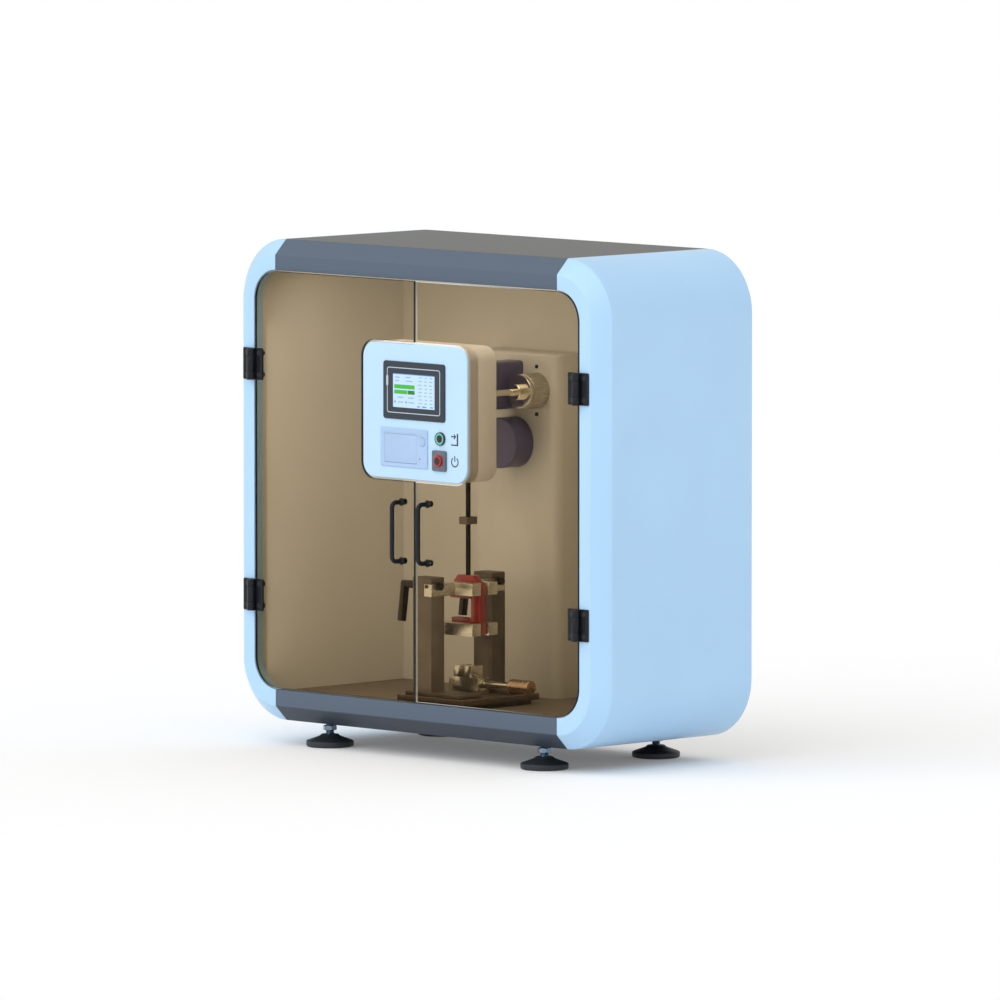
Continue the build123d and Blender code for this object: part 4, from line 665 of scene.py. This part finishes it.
class IMPACT_OT_console(bpy.types.Operator):
    """Control box: plate, body, display with its page, printer, button and switch"""
    bl_idname = "impact.console"
    bl_label = "Control box"

    def execute(self, context):
        c = context.scene.impact_console
        paint = sprayed_paint("plate_paint", c.plate_paint, 0.36, grain=1000.0, depth=0.00003)
        dress("console_front", paint, 0)
        dress("console_body", sprayed_paint("body_paint", c.body_paint, 0.45, grain=1000.0), 0)
        dress("screen_bezel", moulded_plastic("bezel_plastic", c.bezel, 0.45), 0.0004)
        dress("screen", lit_page("page_light", c.page), 0)
        self.page(c)
        self.line(c)
        dress("printer_bezel", moulded_plastic("printer_plastic", c.printer, 0.45), 0.0003)
        dress("printer_door", moulded_plastic("printer_door_plastic", scaled(c.printer, 0.97), 0.4), 0.0003)
        dress("feed_button", moulded_plastic("feed_plastic", scaled(c.printer, 0.95), 0.35), 0.0003)
        dress("paper_roll", moulded_plastic("paper", (0.8, 0.8, 0.78), 0.7), 0)
        dress("impact_ring", moulded_plastic("mint_plastic", c.mint, 0.25), 0)
        black = moulded_plastic("black_plastic", (0.012, 0.013, 0.014), 0.3)
        dress("impact_button", black, 0)
        collar = machined_steel("escutcheon_steel", (0.17, 0.175, 0.21), 0.35, (0.1, 1, 1), metallic=0.5)
        dress("power_escutcheon", collar, 0.0003)
        dress("power_button", moulded_plastic("red_plastic", c.red, 0.22), 0)
        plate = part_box("console_front")[0][1]
        self.buttons(plate, black)
        self.signs(plate, moulded_plastic("sign_ink", c.ink, 0.5))
        return {"FINISHED"}

    @staticmethod
    def page(c):
        """Page of the display: bars, short strokes and marks, each a thin rounded plate set out in
        shares of the screen's width and height."""
        low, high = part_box("screen")
        width, height, proud = high[0] - low[0], high[2] - low[2], 0.0001
        def plate(x0, x1, z0, z1, radius=0.0004):
            left, right = low[0] + x0 * width, low[0] + x1 * width
            bottom, top = low[2] + z0 * height, low[2] + z1 * height
            return capped(flat_plate(left, right, bottom, top, low[1] - proud, proud, radius))
        green = [plate(0.03, 0.52, 0.555, 0.675), plate(0.03, 0.345, 0.40, 0.515)]
        dark = [plate(0.355, 0.52, 0.40, 0.515)]
        sharp, pitch, thin, thick = 0.0002, 0.108, 0.028, 0.035
        strokes = []
        for row in range(8):
            z = 0.90 - row * pitch
            drift = 0.012 * ((row * 7) % 3)
            for start, end in ((0.62, 0.70), (0.765, 0.82), (0.885, 0.95)):
                strokes.append(plate(start - drift, end - drift / 2, z, z + thin, sharp))
        for start, end, z in (
            (0.05, 0.16, 0.87), (0.30, 0.43, 0.88), (0.05, 0.15, 0.77), (0.31, 0.47, 0.77),
            (0.11, 0.25, 0.28), (0.36, 0.50, 0.28), (0.12, 0.25, 0.14), (0.37, 0.51, 0.14),
        ):
            strokes.append(plate(start, end, z, z + thick, sharp))
        blues = [plate(x, x + 0.03, 0.13, 0.19, 0.0007) for x in (0.035, 0.30)]
        blues += [plate(x0, x1, 0.04, 0.075) for x0, x1 in ((0.58, 0.65), (0.70, 0.80), (0.90, 0.96))]
        blues.append(plate(0.0, 1.0, 0.975, 1.0, 0.0001))
        for name, grids, tone in (
            ("page_bars", green, c.bar_green), ("page_bar_dark", dark, scaled(c.bar_green, 0.42)),
            ("page_strokes", strokes, c.stroke_blue), ("page_marks", blues, c.mark_blue),
        ):
            fit(solid_piece(name, grids), "cabinet", "display", lit_page(name + "_light", tone))

    @staticmethod
    def line(c):
        """Light line round the screen, a ring of rectangular section, and the slot on its left side."""
        low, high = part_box("screen_bezel")
        front = low[1]
        x, _, z = between(low, high)
        x0, x1, z0, z1 = x - 0.0605, x + 0.0605, z - 0.0362, z + 0.0366
        half, radius, sunk, proud = 0.0007, 0.004, 0.0004, 0.0002
        loops = [(front + sunk, -half), (front - proud, -half), (front - proud, half), (front + sunk, half)]
        stations = [(y, x0 - g, x1 + g, z0 - g, z1 + g, radius + g) for y, g in loops]
        slot = flat_plate(
            x0 - 0.0022, x0 + 0.0022, z1 - 0.030, z1 - 0.013, front - 0.0007, 0.0008, 0.0021,
        )
        grids = [looped(ring_stretch(stations, range(8))), capped(slot)]
        line = moulded_plastic("line_plastic", c.line, 0.3)
        fit(solid_piece("screen_line", grids), "cabinet", "display", line)

    @staticmethod
    def buttons(plate, black):
        """Printer lamp, black centre of the power switch and rim of the push button."""
        low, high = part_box("printer_bezel")
        lens = eased([(0, 0.0013), (0.0006, 0.0011), (0.0006, 0.0001), (0, 0.0001)], 0.0003)
        lamp = turned(lens, (0.0133, low[1] + 0.0001, UNDERSIDE + 0.4506), FORWARD, 24)
        piece = solid_piece("printer_lamp", [(lamp, False, True, False)])
        fit(piece, "cabinet", "button_red", lit_page("lamp_red", (0.65, 0.02, 0.03), 0.4))
        low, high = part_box("power_button")
        x, _, z = between(low, high)
        cap = [(0.0, 0.0062), (0.00035, 0.0058), (0.0005, 0.0045), (0.0005, 0.00005)]
        piece = solid_piece("power_button_centre", [capped(turned(cap, (x, low[1], z), FORWARD, 48))])
        fit(piece, "power_button", "black_plastic", black)
        low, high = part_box("impact_ring")
        x, _, z = between(low, high)
        rim = (high[0] - low[0]) / 2
        proud = plate - low[1] + 0.0003
        outline = [(0.0, rim - 0.0014), (proud, rim - 0.0014), (proud, rim - 0.0002), (0.0, rim + 0.0003)]
        piece = solid_piece("impact_ring_rim", [looped(turned(outline, (x, plate, z), FORWARD, 64))])
        fit(piece, "cabinet", "black_plastic", black)

    @staticmethod
    def signs(plate, ink):
        """Two generic signs made of strokes: a ring with a stroke for the power, and an arrow on a block
        for the blow. A stroke is a bar along a path, as wide to each side as half and as deep as proud
        before and behind the plate's face."""
        size, x, proud = 1.7, 0.0925, 0.0002
        def stroke(z, half, points):
            points = np.asarray(points, dtype=float) * size + (x, UNDERSIDE + z)
            run = np.gradient(points, axis=0)
            run /= np.linalg.norm(run, axis=1)[:, None]
            side = np.stack([-run[:, 1], run[:, 0]], axis=-1) * (half * size)
            edges = []
            for way, depth in ((1, proud), (1, -proud), (-1, -proud), (-1, proud)):
                edge = points + side * way
                edges.append(np.stack([edge[:, 0], np.full(len(edge), plate + depth), edge[:, 1]], axis=-1))
            return capped(np.stack(edges, axis=1))
        angle = np.radians(np.linspace(125, 415, 40))
        ring = 0.0044 * np.stack([np.cos(angle), np.sin(angle)], axis=-1)
        power, blow, fine, broad = 0.4502, 0.4862, 0.0006, 0.0009
        strokes = [stroke(*item) for item in (
            (power, fine, ring), (power, fine, [(0, 0.0005), (0, 0.0058)]),
            (blow, fine, [(-0.005, 0.003), (0.001, 0.003)]),
            (blow, fine, [(-0.0012, 0.0052), (0.0012, 0.003), (-0.0012, 0.0008)]),
            (blow, broad, [(0.0036, -0.005), (0.0036, 0.006)]),
            (blow, fine, [(-0.005, -0.005), (0.0045, -0.005)]),
        )]
        fit(solid_piece("plate_signs", strokes), "cabinet", "black_plastic", ink)


class IMPACT_OT_pendulum(bpy.types.Operator):
    """Pendulum: hub, rod, trim weight, hammer and striker"""
    bl_idname = "impact.pendulum"
    bl_label = "Pendulum"

    def execute(self, context):
        m = context.scene.impact_mechanism
        bright = machined_steel("pendulum_steel", m.steel, 0.2, (1, 1, 0.05))
        dress("pendulum_hub", bright, 0.0004)
        rod = sprayed_paint("rod_paint", (0.01, 0.01, 0.01), 0.5, depth=0.00003, drift=0.1, specular=0.2)
        dress("pendulum_rod", rod, 0)
        weight = machined_steel("weight_steel", scaled(m.dark_steel, 1.2), 0.35, metallic=0.5)
        dress("trim_weight", weight, 0.0003)
        red = sprayed_paint(
            "hammer_paint", m.hammer_paint, 0.3, grain=600.0, depth=0.00007, drift=0.12, coat=0.4,
        )
        dress("hammer", red, 0.0006)
        dress("striker", machined_steel("striker_steel", m.steel, 0.18), 0.0002)
        return {"FINISHED"}


class IMPACT_OT_test_frame(bpy.types.Operator):
    """Test frame: base plate, columns, arms, levers and screws"""
    bl_idname = "impact.test_frame"
    bl_label = "Test frame"

    def execute(self, context):
        m = context.scene.impact_mechanism
        dark = machined_steel("column_steel", m.dark_steel, 0.5, (1, 1, 0.06), grain=300.0, metallic=0.15)
        dress("side_columns", dark, 0.0005)
        rough = machined_steel(
            "plate_steel", scaled(m.dark_steel, 1.3), 0.4, grain=480.0, metallic=0.4, depth=0.0004,
            strength=0.8, spark=0.35,
        )
        dress("base_plate", rough, 0.0005)
        bright = machined_steel(
            "arm_steel", m.steel, 0.25, grain=900.0, metallic=0.85, depth=0.00008, strength=0.6, spark=0.2,
        )
        for node in ("upper_arms", "lower_arms"):
            dress(node, bright, 0.0004)
        for node in ("front_lever", "rear_lever"):
            black = scaled(m.dark_steel, 0.22)
            dress(node, machined_steel(node + "_steel", black, 0.3, (1, 1, 0.1), metallic=0.5), 0.0004)
        dress("frame_screws", sprayed_paint("black_screw", (0.02, 0.02, 0.02), 0.3), 0)
        return {"FINISHED"}


class IMPACT_OT_vise(bpy.types.Operator):
    """Vise: body, jaw, and the screw with its tapered collar and knurled knob"""
    bl_idname = "impact.vise"
    bl_label = "Vise"

    def execute(self, context):
        m = context.scene.impact_mechanism
        steel = machined_steel("vise_steel", m.steel, 0.2, grain=1200.0, metallic=0.95)
        dress("vise_body", steel, 0.0004)
        dress("vise_jaw", steel, 0.0003)
        self.screw(m)
        return {"FINISHED"}

    @staticmethod
    def screw(m):
        """Screw turned about X. Its thread is a radius that rises and falls as the cosine of twice pi
        times distance over pitch less the angle. The knob's radius falls by the product of two opposed
        helical cosines, which leaves diamonds, and eases to a chamfer at both ends."""
        low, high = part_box("vise_screw")
        centre = (0, *between(low, high)[1:])
        body_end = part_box("vise_body")[1][0]
        length, pitch, lead, chamfer = 0.047, 0.002, 0.012, 0.0025
        left, right = high[0] - length, high[0]
        angle = np.linspace(0, CIRCLE, m.knurls * 4, endpoint=False)
        x = np.linspace(low[0], body_end, 140)
        thread = 0.00385 + 0.00013 * np.cos(CIRCLE * x[:, None] / pitch - angle)
        shank = revolved(x, thread, angle, centre)
        collar = eased([
            (body_end + 0.0004, 0.003), (body_end + 0.0004, 0.0085), (body_end + 0.006, 0.0085),
            (body_end + 0.012, 0.0076), (left - 0.006, 0.0047), (left - 0.003, 0.0047),
            (left - 0.001, 0.0075), (left + 0.001, 0.0075),
        ], 0.0015)
        collar = revolved(collar[:, 0], collar[:, 1:], angle, centre)
        x = np.linspace(left, right, 150)
        share = np.clip(np.minimum(x - left, right - x) / chamfer, 0, 1)[:, None]
        wind = CIRCLE * (x[:, None] - left) / lead * 4
        lattice = np.cos(m.knurls * angle + wind) * np.cos(m.knurls * angle - wind)
        knob = (high[2] - low[2]) / 2 - 0.0018 * (1 - share) ** 2 - 0.00045 * share * (1 - lattice) / 2
        bright = machined_steel("screw_bright", m.steel, 0.16, (1, 0.1, 0.1))
        piece = solid_piece("vise_screw_shank", [capped(shank), capped(collar)], 50)
        fit(piece, "vise_screw", "vise_chrome", bright, "vise_screw")
        piece = solid_piece("vise_knob", [capped(revolved(x, knob, angle, centre))], 60)
        fit(piece, "vise_screw", "vise_chrome", machined_steel("knob_steel", m.knob_steel, 0.24))


class IMPACT_OT_feet(bpy.types.Operator):
    """Feet: moulded pads, threaded studs and lock nuts"""
    bl_idname = "impact.feet"
    bl_label = "Feet"

    def execute(self, context):
        f = context.scene.impact_feet
        pad = moulded_plastic("foot_plastic", f.rubber, 0.5, grain=900.0, depth=0.00006)
        zinc = machined_steel("stud_steel", (0.20, 0.27, 0.36), 0.25)
        for number in range(1, 5):
            node = f"levelling_foot_{number}"
            low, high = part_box(node)
            centre = (*between(low, high)[:2], low[2])
            self.pad(number, centre, f.pad / 2, node, pad)
            self.stud(number, centre, f.stud / 2, high[2] - low[2], zinc)
        return {"FINISHED"}

    @staticmethod
    def pad(number, centre, radius, node, material):
        """Pad turned about Z: flat below, a rim, a flared cone and a short neck, its corners eased."""
        profile = eased([
            (0, 0.002), (0, radius - 0.004), (0.0016, radius), (0.0092, radius), (0.0105, radius - 0.002),
            (0.0150, 0.024), (0.0178, 0.0165), (0.0206, 0.0140), (0.0206, 0.0074), (0.0150, 0.0072),
        ], 0.0018, 7)
        piece = solid_piece(f"foot_pad_{number}", [capped(turned(profile, centre, (0, 0, 1), 72))])
        fit(piece, f"foot_{number}", "foot_rubber", material, node)

    @staticmethod
    def stud(number, centre, radius, top, material):
        """Stud turned about Z with a thread, its radius falling by a cosine of distance over pitch less
        the angle, and a lock nut whose radius at an angle is the flat's distance over the cosine of the
        angle from the flat's middle, no more than a cone allows."""
        angle = np.linspace(0, CIRCLE, 72, endpoint=False)
        bottom, pitch, depth = 0.0152, 0.002, 0.0005
        z = np.linspace(bottom, top, 110)
        thread = radius - depth + depth * np.cos(CIRCLE * z[:, None] / pitch - angle)
        low, high, flat, sixth = 0.0270, 0.0345, 0.0100, np.pi / 3
        off = np.abs((angle + sixth / 2) % sixth - sixth / 2)
        z_nut = np.linspace(low, high, 16)
        cone = flat * 1.015 + np.minimum(z_nut - low, high - z_nut)[:, None] * 1.7
        nut = np.minimum(flat / np.cos(off), cone)
        shapes = ((z, thread), (z_nut, nut))
        grids = [capped(revolved(along, r, angle, centre, -1)) for along, r in shapes]
        fit(solid_piece(f"foot_stud_{number}", grids, 28), f"foot_{number}", "foot_rubber", material)


class IMPACT_OT_stage(bpy.types.Operator):
    """Stage: pale floor, white surroundings, lamps and the camera"""
    bl_idname = "impact.stage"
    bl_label = "Stage"

    def execute(self, context):
        s = context.scene.impact_stage
        self.floor(s)
        self.world(s)
        self.lamps(s)
        self.camera()
        context.scene.view_settings.view_transform = "Standard"
        return {"FINISHED"}

    @staticmethod
    def floor(s):
        """Flat square floor at the height of the feet, which glows a little where it is seen straight, in
        a mirror or through glass, and not where it lights other things."""
        reach = 60.0
        corners = [(-reach, -reach, 0), (reach, -reach, 0), (reach, reach, 0), (-reach, reach, 0)]
        mesh = bpy.data.meshes.new("floor")
        mesh.from_pydata(corners, [], [(0, 1, 2, 3)])
        floor = bpy.data.objects.new("floor", mesh)
        bpy.context.scene.collection.objects.link(floor)
        paper = Finish("floor_paper")
        paper.shade({"Base Color": (s.floor_tone,) * 3 + (1,), "Roughness": 0.9, "Specular IOR Level": 0})
        path = paper.add("LightPath", {})
        through = paper.math("MAXIMUM", path["Is Glossy Ray"], path["Is Transmission Ray"])
        seen = paper.math("MAXIMUM", path["Is Camera Ray"], through)
        glow = paper.add("Emission", {"Strength": paper.math("MULTIPLY", seen, s.glow)})
        both = paper.add("AddShader", {0: paper.shader.outputs["BSDF"], 1: glow["Emission"]})
        mesh.materials.append(paper.surface(both["Shader"]))

    @staticmethod
    def world(s):
        """White where the camera looks past the floor, and the ambient level for every other ray."""
        world = bpy.data.worlds.new("studio")
        bpy.context.scene.world = world
        tree = Tree(world)
        path = tree.add("LightPath", {})
        level = {"Value": path["Is Camera Ray"], "To Min": s.ambient, "To Max": 1.0}
        level = tree.add("MapRange", level)["Result"]
        tree.feed(tree.nodes["Background"], {"Color": (1, 1, 1, 1), "Strength": level})

    @staticmethod
    def lamps(s):
        """Two broad suns, a key almost straight from the front and above and a weak one from the right,
        and two lamps in the chamber, one at its ceiling and one just behind the doors."""
        def lamp(name, kind, energy, place, turn, **settings):
            data = bpy.data.lights.new(name, kind)
            data.energy = energy
            for key, value in settings.items():
                setattr(data, key, value)
            lamp = bpy.data.objects.new(name, data)
            lamp.location, lamp.rotation_euler = place, [radians(part) for part in turn]
            bpy.context.scene.collection.objects.link(lamp)
            return lamp
        lamp("key_lamp", "SUN", s.key, (0, 0, 0), (50, 0, -8), angle=radians(80))
        lamp("side_lamp", "SUN", s.key * 0.12, (0, 0, 0), (65, 0, 78), angle=radians(60))
        for name, width, height, energy, place, tilt in (
            ("ceiling_lamp", 0.6, 0.12, 0.75, (0, FRONT + 0.10, TOP - 0.056), 10),
            ("front_lamp", 0.58, 0.58, 0.80, (-0.08, FRONT + 0.026, UNDERSIDE + 0.36), 90),
        ):
            size = {"shape": "RECTANGLE", "size": width, "size_y": height}
            lamp(name, "AREA", energy, place, (tilt, 0, 0), **size).visible_camera = False

    @staticmethod
    def camera():
        """Long lens at the front right: the turn about Z and the elevation give the three axes. The
        place is counted in pixels of the picture, each as long as a pixel is at the tester."""
        turn, rise, focal, film, width = np.radians(45.191), np.radians(4.964), 13791.03, 36.0, 1000
        along, down, height, pixel = 85.303, 1.92, 238.971, 0.0016175
        right = np.array([np.cos(turn), np.sin(turn), 0])
        back = np.array([np.sin(turn) * np.cos(rise), -np.cos(turn) * np.cos(rise), np.sin(rise)])
        up = np.cross(back, right)
        place = (back * focal + right * along - up * down + np.array([0, 0, height])) * pixel
        place += np.array([0, FRONT, UNDERSIDE])
        data = bpy.data.cameras.new("camera")
        data.sensor_width = film
        data.lens = film * focal / width
        data.clip_start, data.clip_end = 0.1, 200.0
        camera = bpy.data.objects.new("camera", data)
        bpy.context.scene.collection.objects.link(camera)
        rows = np.stack([right, up, back, place], axis=1).tolist()
        camera.matrix_world = Matrix([*rows, [0, 0, 0, 1]])
        bpy.context.scene.camera = camera


class IMPACT_PT_panel(bpy.types.Panel):
    """Lists the steps and their settings"""
    bl_idname = "IMPACT_PT_panel"
    bl_label = "Impact tester"
    bl_space_type = "VIEW_3D"
    bl_region_type = "UI"
    bl_category = "Impact tester"

    def draw(self, context):
        for operator in OPERATORS:
            self.layout.operator(operator.bl_idname)
        for name, group in SETTINGS.items():
            box = self.layout.box()
            box.label(text=group.__doc__)
            settings = getattr(context.scene, name)
            for field in group.__annotations__:
                box.prop(settings, field)


SETTINGS = {
    "impact_surround": SurroundSettings,
    "impact_chamber": ChamberSettings,
    "impact_doors": DoorSettings,
    "impact_console": ConsoleSettings,
    "impact_mechanism": MechanismSettings,
    "impact_feet": FootSettings,
    "impact_stage": StageSettings,
}
OPERATORS = (
    IMPACT_OT_stage, IMPACT_OT_surround, IMPACT_OT_chamber, IMPACT_OT_drive, IMPACT_OT_doors,
    IMPACT_OT_console, IMPACT_OT_pendulum, IMPACT_OT_test_frame, IMPACT_OT_vise, IMPACT_OT_feet,
)


def register():
    """Registers the settings, the operators and the panel."""
    for name, group in SETTINGS.items():
        bpy.utils.register_class(group)
        setattr(bpy.types.Scene, name, PointerProperty(type=group))
    for cls in (*OPERATORS, IMPACT_PT_panel):
        bpy.utils.register_class(cls)


def unregister():
    """Takes them out again."""
    for cls in (IMPACT_PT_panel, *reversed(OPERATORS)):
        bpy.utils.unregister_class(cls)
    for name, group in reversed(SETTINGS.items()):
        delattr(bpy.types.Scene, name)
        bpy.utils.unregister_class(group)


def main():
    register()
    for operator in OPERATORS:
        group, name = operator.bl_idname.split(".")
        getattr(getattr(bpy.ops, group), name)()


if __name__ == "__main__":
    main()
